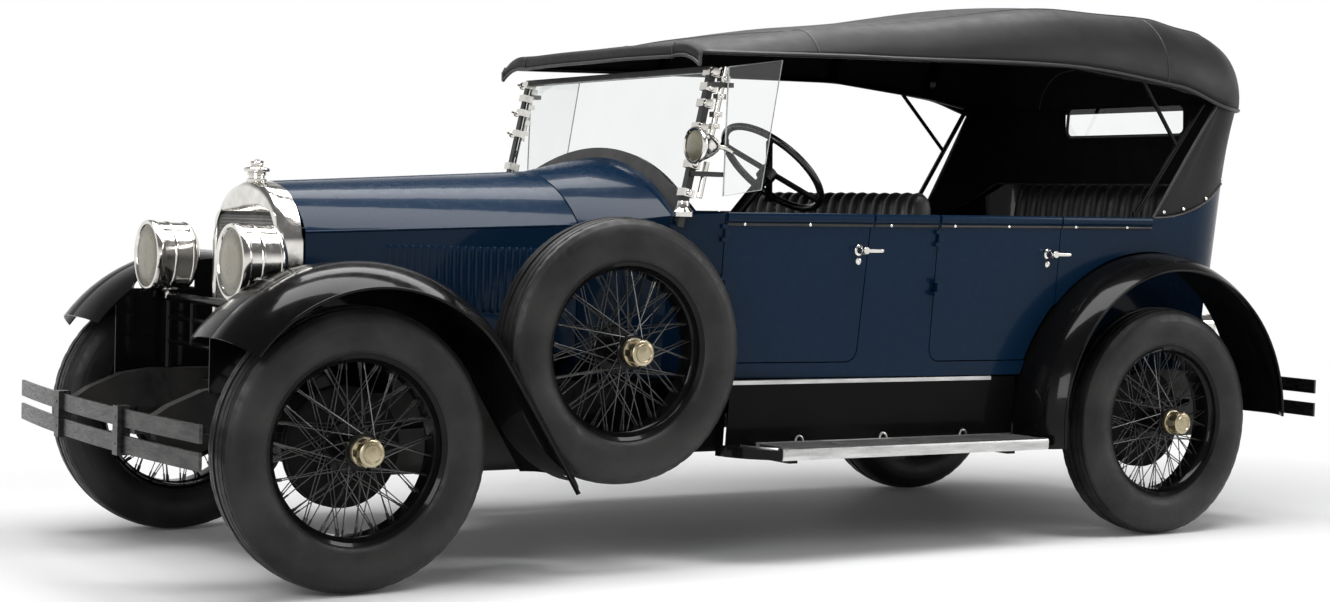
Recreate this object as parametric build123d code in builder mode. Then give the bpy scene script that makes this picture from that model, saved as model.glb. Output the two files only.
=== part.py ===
"""A 1920s open touring car: ladder frame, wire wheels, steel-panelled tub with four front-hinged
doors, butterfly hood, side-mounted spares and a fabric top on bows.

Millimetres. +X is forward, +Y is the car's left, +Z is up. The origin lies on the ground, on the
centre plane, midway between the front and rear bumper faces.
"""

import os
from math import cos, radians, sin

from build123d import *

# Driving dimensions
WHEELBASE = 3353.0
TRACK = 1473.0
FRONT_OVERHANG = 570.0
REAR_OVERHANG = 840.0
TYRE_RADIUS = 432.0
TYRE_WIDTH = 178.0
RIM_RADIUS = 280.0
RIM_HALF_WIDTH = 66.0
SILL_Z = 610.0
BELT_FRONT_Z = 1172.0
BELT_REAR_Z = 1202.0
TUB_TOP_Z = 1345.0
WALL = 45.0
SEAT_GAP = 0.3
DOOR_GAP = 4.0

# Stations derived from the driving dimensions
LENGTH = FRONT_OVERHANG + WHEELBASE + REAR_OVERHANG
FRONT_X = LENGTH / 2 - FRONT_OVERHANG
REAR_X = FRONT_X - WHEELBASE
HUB_Z = TYRE_RADIUS
WHEEL_Y = TRACK / 2


def aft(distance):
    """The station that lies a distance behind the front axle."""
    return FRONT_X - distance


PIECES = {}


def keep(name, part):
    """Labels a finished piece and puts it on the list that is written at the end."""
    part.label = name
    PIECES[name] = part


def mirrored(part):
    """The same piece on the other side of the car."""
    return mirror(part, about=Plane.XZ)


SIDES = (("left", 1), ("right", -1))

# Wire wheels
RIM_FLANGE = 13.0
RIM_BASE = 14.0
BEAD_GAP = 2.0
SPINDLE_RADIUS = 20.0
SPINDLE_CLEARANCE = 0.3
HUB_RADIUS = 46.0
HUB_CAP_RADIUS = 38.0
HUB_CAP_REACH = 162.0
DRUM_RADIUS = 185.0
DRUM_WALL = 10.0
DRUM_INNER_Y = -90.0
DRUM_FACE_Y = -46.0
SPOKE_RADIUS = 2.6
SPOKE_STAGGER = 3.5
# Spoke rows: count, hub radius, hub lateral place, rim lateral place, lean round the hub in degrees
SPOKE_ROWS = (
    (20, 50.0, 79.0, 16.0, 48.0),
    (20, 72.0, -30.0, -8.0, 38.0),
    (20, 72.0, -36.0, -24.0, 62.0),
)


def build_tyre():
    bead = RIM_HALF_WIDTH - RIM_FLANGE / 2 - BEAD_GAP
    bead_radius = RIM_RADIUS + SEAT_GAP
    bead_top = RIM_RADIUS + RIM_FLANGE + 3
    bulge_radius = (RIM_RADIUS + TYRE_RADIUS) / 2 - 6
    shoulder_radius = TYRE_RADIUS - 9
    tread = TYRE_WIDTH * 0.35
    with BuildPart() as tyre:
        with BuildSketch():
            with BuildLine():
                Line((bead_radius, bead), (bead_top, bead))
                ThreePointArc((bead_top, bead), (bulge_radius, TYRE_WIDTH / 2), (shoulder_radius, tread))
                ThreePointArc((shoulder_radius, tread), (TYRE_RADIUS, 0), (shoulder_radius, -tread))
                ThreePointArc((shoulder_radius, -tread), (bulge_radius, -TYRE_WIDTH / 2), (bead_top, -bead))
                Line((bead_top, -bead), (bead_radius, -bead))
                Line((bead_radius, -bead), (bead_radius, bead))
            make_face()
        revolve(axis=Axis.Y)
    return tyre.part


def build_wheel():
    """A wire wheel about the origin, its outer side to +Y."""
    flange_r = RIM_RADIUS + RIM_FLANGE
    base_r = RIM_RADIUS - RIM_BASE
    seat_y = RIM_HALF_WIDTH - RIM_FLANGE / 2
    bore = SPINDLE_RADIUS + SPINDLE_CLEARANCE
    rim = ((base_r, -RIM_HALF_WIDTH), (flange_r, -RIM_HALF_WIDTH), (flange_r, -seat_y), (RIM_RADIUS, -seat_y),
           (RIM_RADIUS, seat_y), (flange_r, seat_y), (flange_r, RIM_HALF_WIDTH), (base_r, RIM_HALF_WIDTH))
    hub = ((bore, DRUM_FACE_Y - 14), (HUB_RADIUS, DRUM_FACE_Y - 14), (HUB_RADIUS, DRUM_FACE_Y),
           (78, DRUM_FACE_Y), (78, -24), (HUB_RADIUS, -20), (HUB_RADIUS - 4, 70), (56, 72), (56, 86),
           (HUB_CAP_RADIUS + 6, 88),
           (HUB_CAP_RADIUS + 6, 104), (HUB_CAP_RADIUS, 106), (HUB_CAP_RADIUS, HUB_CAP_REACH - 14),
           (HUB_CAP_RADIUS - 12, HUB_CAP_REACH), (0, HUB_CAP_REACH), (0, 66), (bore, 66))
    rim_end = base_r + 3
    with BuildPart() as wheel:
        for outline in (rim, hub):
            with BuildSketch():
                with BuildLine():
                    Polyline(*outline, close=True)
                make_face()
            revolve(axis=Axis.Y)
        for count, hub_r, hub_y, rim_y, lean in SPOKE_ROWS:
            for swing, stagger in ((lean, SPOKE_STAGGER), (-lean, -SPOKE_STAGGER)):
                start = Vector(hub_r * cos(radians(swing)), hub_y + stagger, hub_r * sin(radians(swing)))
                end = Vector(rim_end, rim_y, 0)
                first = Plane(origin=start, z_dir=end - start).location
                turn = 360 / count
                lead = turn / 4 if swing > 0 else -turn / 4
                places = [Location((0, 0, 0), (0, i * turn + lead, 0)) * first for i in range(0, count, 2)]
                with Locations(*places):
                    Cylinder(SPOKE_RADIUS, (end - start).length,
                             align=(Align.CENTER, Align.CENTER, Align.MIN))
    return wheel.part


def add_drum(bare):
    """A road wheel: the bare wire wheel with a brake drum on its inner side."""
    inner = DRUM_RADIUS - DRUM_WALL
    cup = ((HUB_RADIUS - 6, DRUM_FACE_Y - 8), (inner, DRUM_FACE_Y - 8), (inner, DRUM_INNER_Y),
           (DRUM_RADIUS, DRUM_INNER_Y), (DRUM_RADIUS, DRUM_FACE_Y), (HUB_RADIUS - 6, DRUM_FACE_Y))
    with BuildPart() as wheel:
        add(bare)
        with BuildSketch():
            with BuildLine():
                Polyline(*cup, close=True)
            make_face()
        revolve(axis=Axis.Y)
    return wheel.part


# Running gear
KINGPIN_OFFSET = 136.0
KINGPIN_RADIUS = 12.0
KINGPIN_CLEARANCE = 0.3
EYE_RADIUS = 24.0
EYE_HALF_HEIGHT = 30.0
LUG_THICKNESS = 18.0
LUG_GAP = 1.0
STEER_ARM = 150.0
STEER_ARM_INSET = 20.0
STEER_ARM_THICKNESS = 14.0
TIE_ROD_RADIUS = 12.0
BACKPLATE_RADIUS = 170.0
RAIL_INNER_Y = 345.0
RAIL_OUTER_Y = 395.0
RAIL_TOP_Z = 600.0
RAIL_BOTTOM_Z = 470.0
SPRING_WIDTH = 48.0
SPRING_Y = (RAIL_INNER_Y + RAIL_OUTER_Y) / 2
AXLE_TUBE_RADIUS = 45.0
BEAM_TOP_Z = 405.0
BEAM_BOTTOM_Z = 345.0

KINGPIN_Y = WHEEL_Y - KINGPIN_OFFSET
ARM_Z = HUB_Z - EYE_HALF_HEIGHT - LUG_GAP - LUG_THICKNESS
ARM_X = FRONT_X - STEER_ARM
ARM_Y = KINGPIN_Y - STEER_ARM_INSET

# Car-side pieces that carry a wheel: a back plate inside the drum and a spindle into the hub bore
BACKPLATE_THICKNESS = 6.0
SPINDLE_END_Y = WHEEL_Y + 62.0


def knuckle_left():
    lug_z = EYE_HALF_HEIGHT + LUG_GAP
    web_y = KINGPIN_Y + EYE_RADIUS + 6
    plate_y = WHEEL_Y + DRUM_INNER_Y
    with BuildPart() as knuckle:
        with Locations((FRONT_X, KINGPIN_Y, HUB_Z)):
            Cylinder(KINGPIN_RADIUS, 2 * (lug_z + LUG_THICKNESS))
        for z in (HUB_Z + lug_z, HUB_Z - lug_z - LUG_THICKNESS):
            with BuildSketch(Plane.XY.offset(z)):
                with Locations((FRONT_X, KINGPIN_Y)):
                    Circle(EYE_RADIUS)
                with Locations((FRONT_X, (KINGPIN_Y + plate_y) / 2)):
                    Rectangle(2 * EYE_RADIUS, plate_y - KINGPIN_Y)
            extrude(amount=LUG_THICKNESS)
        with Locations((FRONT_X, (web_y + plate_y) / 2, HUB_Z)):
            Box(2 * EYE_RADIUS, plate_y - web_y, 2 * lug_z)
        with BuildSketch(Plane.XZ.offset(-plate_y)):
            with Locations((FRONT_X, HUB_Z)):
                Circle(BACKPLATE_RADIUS)
        extrude(amount=-BACKPLATE_THICKNESS)
        with BuildSketch(Plane.XZ.offset(-plate_y)):
            with Locations((FRONT_X, HUB_Z)):
                Circle(SPINDLE_RADIUS)
        extrude(amount=-(SPINDLE_END_Y - plate_y))
        with BuildSketch(Plane.XY.offset(ARM_Z)):
            with BuildLine():
                Polyline((FRONT_X, KINGPIN_Y + 18), (FRONT_X, KINGPIN_Y - 18), (ARM_X, ARM_Y - 12),
                         (ARM_X, ARM_Y + 12), close=True)
            make_face()
            with Locations((ARM_X, ARM_Y)):
                Circle(16)
        extrude(amount=STEER_ARM_THICKNESS)
    return knuckle.part


with BuildPart() as front_axle:
    with BuildSketch(Plane.YZ.offset(FRONT_X - 28)):
        with BuildLine():
            Polyline((KINGPIN_Y, HUB_Z + 20), (KINGPIN_Y - 40, HUB_Z + 20), (KINGPIN_Y - 130, BEAM_TOP_Z),
                     (-KINGPIN_Y + 130, BEAM_TOP_Z), (-KINGPIN_Y + 40, HUB_Z + 20), (-KINGPIN_Y, HUB_Z + 20),
                     (-KINGPIN_Y, HUB_Z - 20), (-KINGPIN_Y + 50, HUB_Z - 20),
                     (-KINGPIN_Y + 145, BEAM_BOTTOM_Z), (KINGPIN_Y - 145, BEAM_BOTTOM_Z),
                     (KINGPIN_Y - 50, HUB_Z - 20), (KINGPIN_Y, HUB_Z - 20), close=True)
        make_face()
    extrude(amount=56)
    for face_x in (FRONT_X - 28, FRONT_X + 28):
        with Locations((face_x, 0, (BEAM_TOP_Z + BEAM_BOTTOM_Z) / 2)):
            Box(28, 2 * (KINGPIN_Y - 160), BEAM_TOP_Z - BEAM_BOTTOM_Z - 28, mode=Mode.SUBTRACT)
    with Locations((FRONT_X, KINGPIN_Y, HUB_Z), (FRONT_X, -KINGPIN_Y, HUB_Z)):
        Box(2 * EYE_RADIUS + 20, 2 * EYE_RADIUS + 16, 2 * EYE_HALF_HEIGHT + 20, mode=Mode.SUBTRACT)
        Cylinder(EYE_RADIUS, 2 * EYE_HALF_HEIGHT)
    neck_y = KINGPIN_Y - EYE_RADIUS - 2
    with Locations((FRONT_X, neck_y, HUB_Z), (FRONT_X, -neck_y, HUB_Z)):
        Box(40, 24, 40)
    with Locations((FRONT_X, KINGPIN_Y, HUB_Z), (FRONT_X, -KINGPIN_Y, HUB_Z)):
        Cylinder(KINGPIN_RADIUS + KINGPIN_CLEARANCE, 2 * EYE_HALF_HEIGHT + 4, mode=Mode.SUBTRACT)
keep("front_axle", front_axle.part)

left_knuckle = knuckle_left()
keep("knuckle_left", left_knuckle)
keep("knuckle_right", mirrored(left_knuckle))

with BuildPart() as tie_rod:
    rod_z = ARM_Z - SEAT_GAP - TIE_ROD_RADIUS
    with BuildSketch(Plane.XZ.offset(-ARM_Y)):
        with Locations((ARM_X, rod_z)):
            Circle(TIE_ROD_RADIUS - 1)
    extrude(amount=2 * ARM_Y)
    with Locations((ARM_X, ARM_Y, rod_z), (ARM_X, -ARM_Y, rod_z)):
        Cylinder(16, 2 * TIE_ROD_RADIUS)
keep("tie_rod", tie_rod.part)

GEARBOX_REAR_X = aft(1392)
DIFF_RADIUS = 138.0
TORQUE_TUBE_RADIUS = 38.0

with BuildPart() as rear_axle:
    with Locations((REAR_X, 0, HUB_Z)):
        Cylinder(AXLE_TUBE_RADIUS, 2 * (WHEEL_Y + DRUM_INNER_Y), rotation=(90, 0, 0))
        Sphere(DIFF_RADIUS)
        Cylinder(SPINDLE_RADIUS, 2 * SPINDLE_END_Y, rotation=(90, 0, 0))
    for sign in (1, -1):
        with Locations((REAR_X, sign * (WHEEL_Y + DRUM_INNER_Y + BACKPLATE_THICKNESS / 2), HUB_Z)):
            Cylinder(BACKPLATE_RADIUS, BACKPLATE_THICKNESS, rotation=(90, 0, 0))
    with BuildSketch(Plane.YZ.offset(REAR_X)):
        with Locations((0, HUB_Z)):
            Circle(TORQUE_TUBE_RADIUS)
    extrude(amount=GEARBOX_REAR_X - SEAT_GAP - REAR_X)
keep("rear_axle", rear_axle.part)

# Ladder frame: side-view outline of a rail, then cross members by station
HORN_REACH = 505.0
REAR_RAIL_REACH = 700.0
AXLE_ARCH_Z = 500.0
with BuildPart() as chassis_frame:
    with BuildSketch(Plane.XZ.offset(-RAIL_OUTER_Y)):
        with BuildLine():
            Polyline((FRONT_X + HORN_REACH, 462), (FRONT_X + HORN_REACH, 498), (FRONT_X + 440, 540),
                     (FRONT_X + 330, 585), (FRONT_X + 230, RAIL_TOP_Z), (REAR_X - 420, RAIL_TOP_Z),
                     (REAR_X - REAR_RAIL_REACH, 560), (REAR_X - REAR_RAIL_REACH, 500),
                     (REAR_X - 560, RAIL_BOTTOM_Z), (REAR_X - 260, AXLE_ARCH_Z), (REAR_X + 260, AXLE_ARCH_Z),
                     (REAR_X + 520, RAIL_BOTTOM_Z), (FRONT_X + 380, RAIL_BOTTOM_Z), close=True)
        make_face()
    extrude(amount=RAIL_OUTER_Y - RAIL_INNER_Y)
    mirror(about=Plane.XZ)
    # Cross members: station behind the front axle, length along the car, underside, top
    for station, size, low, high in ((-14, 90, 490, 560), (900, 60, 520, 560), (1560, 60, 500, 560),
                                     (2500, 70, 490, 560), (3760, 70, 505, 580), (4020, 60, 505, 560)):
        with Locations((aft(station), 0, (low + high) / 2)):
            Box(size, 2 * RAIL_INNER_Y + 20, high - low)
    # Body pads, by station behind the front axle
    for station in (1120, 1500, 2200, 3000, 3640):
        for sign in (1, -1):
            with Locations((aft(station), sign * SPRING_Y, RAIL_TOP_Z - 5)):
                Box(80, RAIL_OUTER_Y - RAIL_INNER_Y, SILL_Z - SEAT_GAP - RAIL_TOP_Z + 5,
                    align=(Align.CENTER, Align.CENTER, Align.MIN))
keep("chassis_frame", chassis_frame.part)


def leaf_spring(reach, middle_low, middle_high, end_low, end_high):
    """One left spring stack, thick at the middle, with shackle blocks up to the rail at both ends."""
    with BuildPart() as spring:
        with BuildSketch(Plane.XZ.offset(-SPRING_Y - SPRING_WIDTH / 2)):
            with BuildLine():
                low = ThreePointArc((-reach, end_low), (0, middle_low), (reach, end_low))
                high = ThreePointArc((-reach, end_high), (0, middle_high), (reach, end_high))
                Line(low @ 0, high @ 0)
                Line(low @ 1, high @ 1)
            make_face()
        extrude(amount=SPRING_WIDTH)
    return spring.part


FRONT_SPRING_REACH = 480.0
REAR_SPRING_REACH = 580.0
with BuildPart() as leaf_springs:
    front_low = BEAM_TOP_Z + SEAT_GAP
    add(leaf_spring(FRONT_SPRING_REACH, front_low, front_low + 40, 438, 452).moved(Location((FRONT_X, 0, 0))))
    with Locations((FRONT_X - FRONT_SPRING_REACH + 14, SPRING_Y, (442 + RAIL_BOTTOM_Z - SEAT_GAP) / 2)):
        Box(28, SPRING_WIDTH, RAIL_BOTTOM_Z - SEAT_GAP - 442)
    with Locations((FRONT_X + FRONT_SPRING_REACH - 14, SPRING_Y, (442 + 462 - SEAT_GAP) / 2)):
        Box(28, SPRING_WIDTH, 462 - SEAT_GAP - 442)
    rear_high = HUB_Z - AXLE_TUBE_RADIUS - SEAT_GAP
    add(leaf_spring(REAR_SPRING_REACH, rear_high - 46, rear_high, 440, 456).moved(Location((REAR_X, 0, 0))))
    shackle_z = (446 + RAIL_BOTTOM_Z - SEAT_GAP) / 2
    for end in (1, -1):
        with Locations((REAR_X + end * (REAR_SPRING_REACH - 14), SPRING_Y, shackle_z)):
            Box(28, SPRING_WIDTH, RAIL_BOTTOM_Z - SEAT_GAP - 446)
    mirror(about=Plane.XZ)
keep("leaf_springs", leaf_springs.part)

# Engine and gearbox as one plain block, carried on arms between the rails
ENGINE_FRONT_X = aft(180)
ENGINE_REAR_X = aft(840)
ENGINE_HALF_WIDTH = 165.0
ENGINE_TOP_Z = 1050.0
with BuildPart() as engine:
    with Locations(((ENGINE_FRONT_X + ENGINE_REAR_X) / 2, 0, (500 + ENGINE_TOP_Z) / 2)):
        Box(ENGINE_FRONT_X - ENGINE_REAR_X, 2 * ENGINE_HALF_WIDTH, ENGINE_TOP_Z - 500)
    with Locations(((ENGINE_FRONT_X + ENGINE_REAR_X) / 2, 0, 450)):
        Box(ENGINE_FRONT_X - ENGINE_REAR_X - 60, 2 * ENGINE_HALF_WIDTH - 60, 110)
    with Locations((GEARBOX_REAR_X, 0, 452)):
        Box(ENGINE_REAR_X - GEARBOX_REAR_X + 20, 210, 130, align=(Align.MIN, Align.CENTER, Align.CENTER))
    for x in (aft(300), aft(720)):
        with Locations((x, 0, 545)):
            Box(60, 2 * (RAIL_INNER_Y - SEAT_GAP), 44)
keep("engine", engine.part)

TANK_X = aft(3880)
with BuildPart() as fuel_tank:
    with BuildSketch(Plane.XZ.offset(-(RAIL_INNER_Y - SEAT_GAP))):
        with Locations((TANK_X, 410)):
            SlotOverall(360, 186)
    extrude(amount=2 * (RAIL_INNER_Y - SEAT_GAP))
    with Locations((TANK_X + 120, 0, 498)):
        Box(40, 500, 505 - SEAT_GAP - 498, align=(Align.CENTER, Align.CENTER, Align.MIN))
keep("fuel_tank", fuel_tank.part)

EXHAUST_Y = -230.0
with BuildPart() as exhaust:
    with BuildSketch(Plane.YZ.offset(aft(500))):
        with Locations((EXHAUST_Y, 440)):
            Circle(26)
    extrude(amount=-1300)
    with BuildSketch(Plane.YZ.offset(aft(1780))):
        with Locations((EXHAUST_Y, 424)):
            Circle(75)
    extrude(amount=-640)
    with BuildSketch(Plane.YZ.offset(aft(1560))):
        with Locations((EXHAUST_Y, 475)):
            Rectangle(30, 2 * (500 - SEAT_GAP - 475))
    extrude(amount=20)
    with BuildSketch(Plane.YZ.offset(aft(520))):
        with Locations(((EXHAUST_Y - ENGINE_HALF_WIDTH + 30 - SEAT_GAP) / 2, 445)):
            Rectangle(ENGINE_HALF_WIDTH - 30 + EXHAUST_Y * -1 - 2 * (ENGINE_HALF_WIDTH - 30) - SEAT_GAP, 36)
    extrude(amount=-40)
keep("exhaust", exhaust.part)


# Tub: plan outline by height, hollowed, with wheel arches and door openings
TUB_FRONT_X = aft(1400)
TUB_MID_X = aft(2293)
TUB_CORNER_X = aft(3561)
TUB_REAR_X = aft(3921)
TUB_FRONT_Y = 645.0
TUB_MID_Y = 697.0
TUB_REAR_Y = 700.0
TUB_CORNER_Y = 430.0
TUB_CORNER_BOW = 35.0
TUB_TUCK = 44.0
TUB_REAR_TUCK = 68.0
BELT_MEAN_Z = (BELT_FRONT_Z + BELT_REAR_Z) / 2
FLOOR_THICKNESS = 22.0
BELT_RISE_X = aft(3372)
BELT_RISE_END_X = aft(3752)
ARCH_RADIUS = 642.0
ARCH_WALL = 22.0
ARCH_INNER_Y = 545.0


def plan_face(z, front_x, front_y, mid_y, rear_y, corner_x, corner, rear_x):
    """Plan section at a height: straight sides, rounded rear corners and a bowed rear."""
    with BuildSketch(Plane.XY.offset(z)) as plan:
        with BuildLine():
            Line((front_x, -front_y), (front_x, front_y))
            Line((front_x, front_y), (TUB_MID_X, mid_y))
            Line((TUB_MID_X, mid_y), (corner_x, rear_y))
            TangentArc((corner_x, rear_y), corner, tangent=(-1, 0))
            ThreePointArc(corner, (rear_x, 0), (corner[0], -corner[1]))
            TangentArc((corner_x, -rear_y), (corner[0], -corner[1]), tangent=(-1, 0))
            Line((corner_x, -rear_y), (TUB_MID_X, -mid_y))
            Line((TUB_MID_X, -mid_y), (front_x, -front_y))
        make_face()
    return plan.sketch.face()


def tub_outline(z, inset, front_x):
    """Plan section of the tub at a height; the sides and the rear tuck in towards the sill."""
    tuck = (BELT_MEAN_Z - z) / (BELT_MEAN_Z - SILL_Z)
    side_inset = TUB_TUCK * tuck + inset
    rear_x = TUB_REAR_X + TUB_REAR_TUCK * tuck + inset
    corner = (rear_x + TUB_CORNER_BOW, TUB_CORNER_Y - 0.6 * inset)
    return plan_face(z, front_x, TUB_FRONT_Y - side_inset, TUB_MID_Y - side_inset, TUB_REAR_Y - side_inset,
                     TUB_CORNER_X, corner, rear_x)


def tub_solid(low, high, inset, front_x):
    with BuildPart() as solid:
        loft(sections=[tub_outline(z, inset, front_x) for z in (low, high)], ruled=True)
    return solid.part


def belt_z(x):
    """Height of the belt line along the straight part of the tub."""
    return BELT_FRONT_Z + (BELT_REAR_Z - BELT_FRONT_Z) * (TUB_FRONT_X - x) / (TUB_FRONT_X - BELT_RISE_X)


def above_belt():
    """Everything above the belt line, which climbs in an arc to the back of the rear seat."""
    with BuildPart() as space:
        with BuildSketch(Plane.XZ):
            with BuildLine():
                front = (TUB_FRONT_X + 200, BELT_FRONT_Z)
                rise = (BELT_RISE_X, BELT_REAR_Z)
                top = (BELT_RISE_END_X, TUB_TOP_Z)
                Polyline(rise, (TUB_FRONT_X, BELT_FRONT_Z), front, (front[0], TUB_TOP_Z + 50),
                         (BELT_RISE_END_X, TUB_TOP_Z + 50), top)
                TangentArc(rise, top, tangent=(-1, 0))
            make_face()
        extrude(amount=1000, both=True)
    return space.part


def arch_space(radius, inner_y):
    """Cylinder round the rear axle on the left side, from a lateral place outwards."""
    with BuildPart() as space:
        with BuildSketch(Plane.XZ.offset(-inner_y)):
            with Locations((REAR_X, HUB_Z)):
                Circle(radius)
        extrude(amount=-(1000 - inner_y))
    return space.part


FRONT_DOOR_REAR_X = aft(2006)
FRONT_DOOR_SLANT = 32.0
FRONT_DOOR_LOW_Z = 665.0
REAR_DOOR_FRONT_X = TUB_MID_X
REAR_DOOR_REAR_X = aft(2876)
DOOR_CORNER_RADIUS = 45.0


def door_prism(row, grow):
    """Left-hand prism through a door, grown all round for the opening."""
    low = FRONT_DOOR_LOW_Z - grow
    if row == "front":
        front_x = TUB_FRONT_X - DOOR_GAP + 15 * grow
        rear_top_x = FRONT_DOOR_REAR_X - grow
        rear_low_x = rear_top_x + FRONT_DOOR_SLANT
    else:
        front_x = REAR_DOOR_FRONT_X + grow
        rear_top_x = REAR_DOOR_REAR_X - grow
        rear_low_x = rear_top_x
    with BuildPart() as prism:
        with BuildSketch(Plane.XZ.offset(-600 + 40)):
            with BuildLine():
                FilletPolyline((front_x, low), (front_x, TUB_TOP_Z + 100), (rear_top_x, TUB_TOP_Z + 100),
                               (rear_low_x, low), radius=DOOR_CORNER_RADIUS + grow, close=True)
            make_face()
        extrude(amount=-400)
    return prism.part


# Door hinges: two a door, their axis just outside the skin at the belt
HINGE_RADIUS = 6.0
HINGE_HALF = 15.0
HINGE_OUT = 2.0
HINGE_HEIGHTS = (1105.0, 930.0)
FRONT_HINGE = (TUB_FRONT_X - DOOR_GAP / 2, TUB_FRONT_Y + HINGE_OUT)
REAR_HINGE = (REAR_DOOR_FRONT_X + DOOR_GAP / 2, TUB_MID_Y + HINGE_OUT)


def bar(start, end, radius):
    """A round bar between two points."""
    start = Vector(*start)
    end = Vector(*end)
    with BuildPart() as rod:
        with Locations(Plane(origin=start, z_dir=end - start)):
            Cylinder(radius, (end - start).length, align=(Align.CENTER, Align.CENTER, Align.MIN))
    return rod.part


def hinge_barrels(x, y, z, on_door):
    """Barrels and leaves of one left-hand hinge: middle barrel on the door, outer two on the pillar."""
    spans = ((HINGE_HALF + SEAT_GAP, HINGE_HALF + 14), (-HINGE_HALF - 14, -HINGE_HALF - SEAT_GAP))
    toward = 1
    if on_door:
        spans = ((-HINGE_HALF, HINGE_HALF),)
        toward = -1
    with BuildPart() as barrels:
        for low, high in spans:
            with Locations((x, y, z + low)):
                Cylinder(HINGE_RADIUS, high - low, align=(Align.CENTER, Align.CENTER, Align.MIN))
            with Locations((x + toward * 9, y - 26 + HINGE_RADIUS, z + (low + high) / 2)):
                Box(18, 52, high - low)
    return barrels.part


tub_outer = tub_solid(SILL_Z, TUB_TOP_Z, 0, TUB_FRONT_X)
tub_cavity = tub_solid(SILL_Z + FLOOR_THICKNESS, TUB_TOP_Z, WALL, TUB_FRONT_X + 60)
over_belt = above_belt()
arch_left = arch_space(ARCH_RADIUS, ARCH_INNER_Y)
house_left = arch_space(ARCH_RADIUS + ARCH_WALL, ARCH_INNER_Y - ARCH_WALL)

FRONT_SEAT_X = aft(1960)
REAR_SEAT_X = aft(3460)
with BuildPart() as body_tub:
    add(house_left)
    add(mirrored(house_left))
    add(tub_outer, mode=Mode.INTERSECT)
    houses = body_tub.part
    add(tub_outer)
    add(tub_cavity, mode=Mode.SUBTRACT)
    add(houses)
    for side_space in (arch_left, door_prism("front", DOOR_GAP), door_prism("rear", DOOR_GAP)):
        add(side_space, mode=Mode.SUBTRACT)
        add(mirrored(side_space), mode=Mode.SUBTRACT)
    add(over_belt, mode=Mode.SUBTRACT)
    floor_z = SILL_Z + FLOOR_THICKNESS - 2
    with Locations((FRONT_SEAT_X, 0, floor_z)):
        Box(440, 1080, 190, align=(Align.CENTER, Align.CENTER, Align.MIN))
    with Locations((REAR_SEAT_X, 0, floor_z)):
        Box(520, 1000, 170, align=(Align.CENTER, Align.CENTER, Align.MIN))
    for z in HINGE_HEIGHTS:
        pillar_hinge = hinge_barrels(*REAR_HINGE, z, False)
        add(pillar_hinge)
        add(mirrored(pillar_hinge))
keep("body_tub", body_tub.part)

# Doors: cut from the same shell, with a lever handle on the outside
HANDLE_Z = 1056.0
HANDLE_LENGTH = 92.0
HANDLE_INSET = 52.0
DOOR_ARCH_GAP = 8.0


def door_left(row):
    rear_x = FRONT_DOOR_REAR_X if row == "front" else REAR_DOOR_REAR_X
    handle_x = rear_x + HANDLE_INSET
    share = min(1, (TUB_FRONT_X - handle_x) / (TUB_FRONT_X - TUB_MID_X))
    tuck = TUB_TUCK * (BELT_MEAN_Z - HANDLE_Z) / (BELT_MEAN_Z - SILL_Z)
    skin_y = TUB_FRONT_Y + (TUB_MID_Y - TUB_FRONT_Y) * share - tuck
    with BuildPart() as door:
        add(tub_outer)
        add(tub_cavity, mode=Mode.SUBTRACT)
        add(over_belt, mode=Mode.SUBTRACT)
        add(door_prism(row, 0), mode=Mode.INTERSECT)
        add(arch_space(ARCH_RADIUS + DOOR_ARCH_GAP, 0), mode=Mode.SUBTRACT)
        with Locations((handle_x, skin_y + 14, HANDLE_Z)):
            Cylinder(11, 50, rotation=(90, 0, 0))
        with Locations((handle_x - HANDLE_LENGTH / 2 + 16, skin_y + 37, HANDLE_Z)):
            Box(HANDLE_LENGTH, 9, 12)
        for z in HINGE_HEIGHTS:
            add(hinge_barrels(*(FRONT_HINGE if row == "front" else REAR_HINGE), z, True))
    return door.part


for row in ("front", "rear"):
    one_door = door_left(row)
    keep("door_" + row + "_left", one_door)
    keep("door_" + row + "_right", mirrored(one_door))

# Butterfly hood: two top panels hinged on the centre line, two louvred side panels hinged on the creases
HOOD_FRONT_AFT = 30.0
HOOD_REAR_AFT = 969.0
HOOD_SKIN = 5.0
HOOD_SPLIT = 6.0
HOOD_ROD_RADIUS = HOOD_SPLIT - SEAT_GAP
HOOD_BEAD_RADIUS = 4.0
HOOD_LOW_Z = 690.0
HOOD_SIDE_GAP = HOOD_BEAD_RADIUS + SEAT_GAP
# Hood ends: station behind the front axle, half width and height of the crease, crown
HOOD_ENDS = ((HOOD_FRONT_AFT, 305.0, 1073.0, 1232.0), (HOOD_REAR_AFT, 400.0, 1118.0, 1296.0))
LOUVRES = 24
LOUVRE_PITCH = 26.0
LOUVRE_HEIGHT = 190.0
LOUVRE_FIRST = 70.0
LOUVRE_Z = 930.0


def hood_line(place, radius, reach):
    """A round bar along one of the hood's hinge lines; place gives its y and z at each end."""
    ends = []
    for station, half, crease, crown in HOOD_ENDS:
        ends.append(Vector(aft(station), *place(half, crease, crown)))
    along = (ends[1] - ends[0]).normalized()
    return bar(ends[0] + along * 0.5, ends[1] + along * (reach - 0.5), radius)


# Cowl sections: station behind the front axle, half width and height of the crease, crown, foot half width
COWL_FRONT_AFT = 975.0
COWL_SECTIONS = (
    (COWL_FRONT_AFT, 400.0, 1118.0, 1296.0, 392.0),
    (1212.0, 598.0, 1158.0, 1350.0, 556.0),
    (1400.0, 644.0, BELT_FRONT_Z, 1385.0, 601.0),
)
COWL_WALL = 26.0
FIREWALL = 20.0
DASH_AFT = 1282.0
DASH_THICKNESS = 25.0
COWL_OPEN_AFT = DASH_AFT + DASH_THICKNESS


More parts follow.
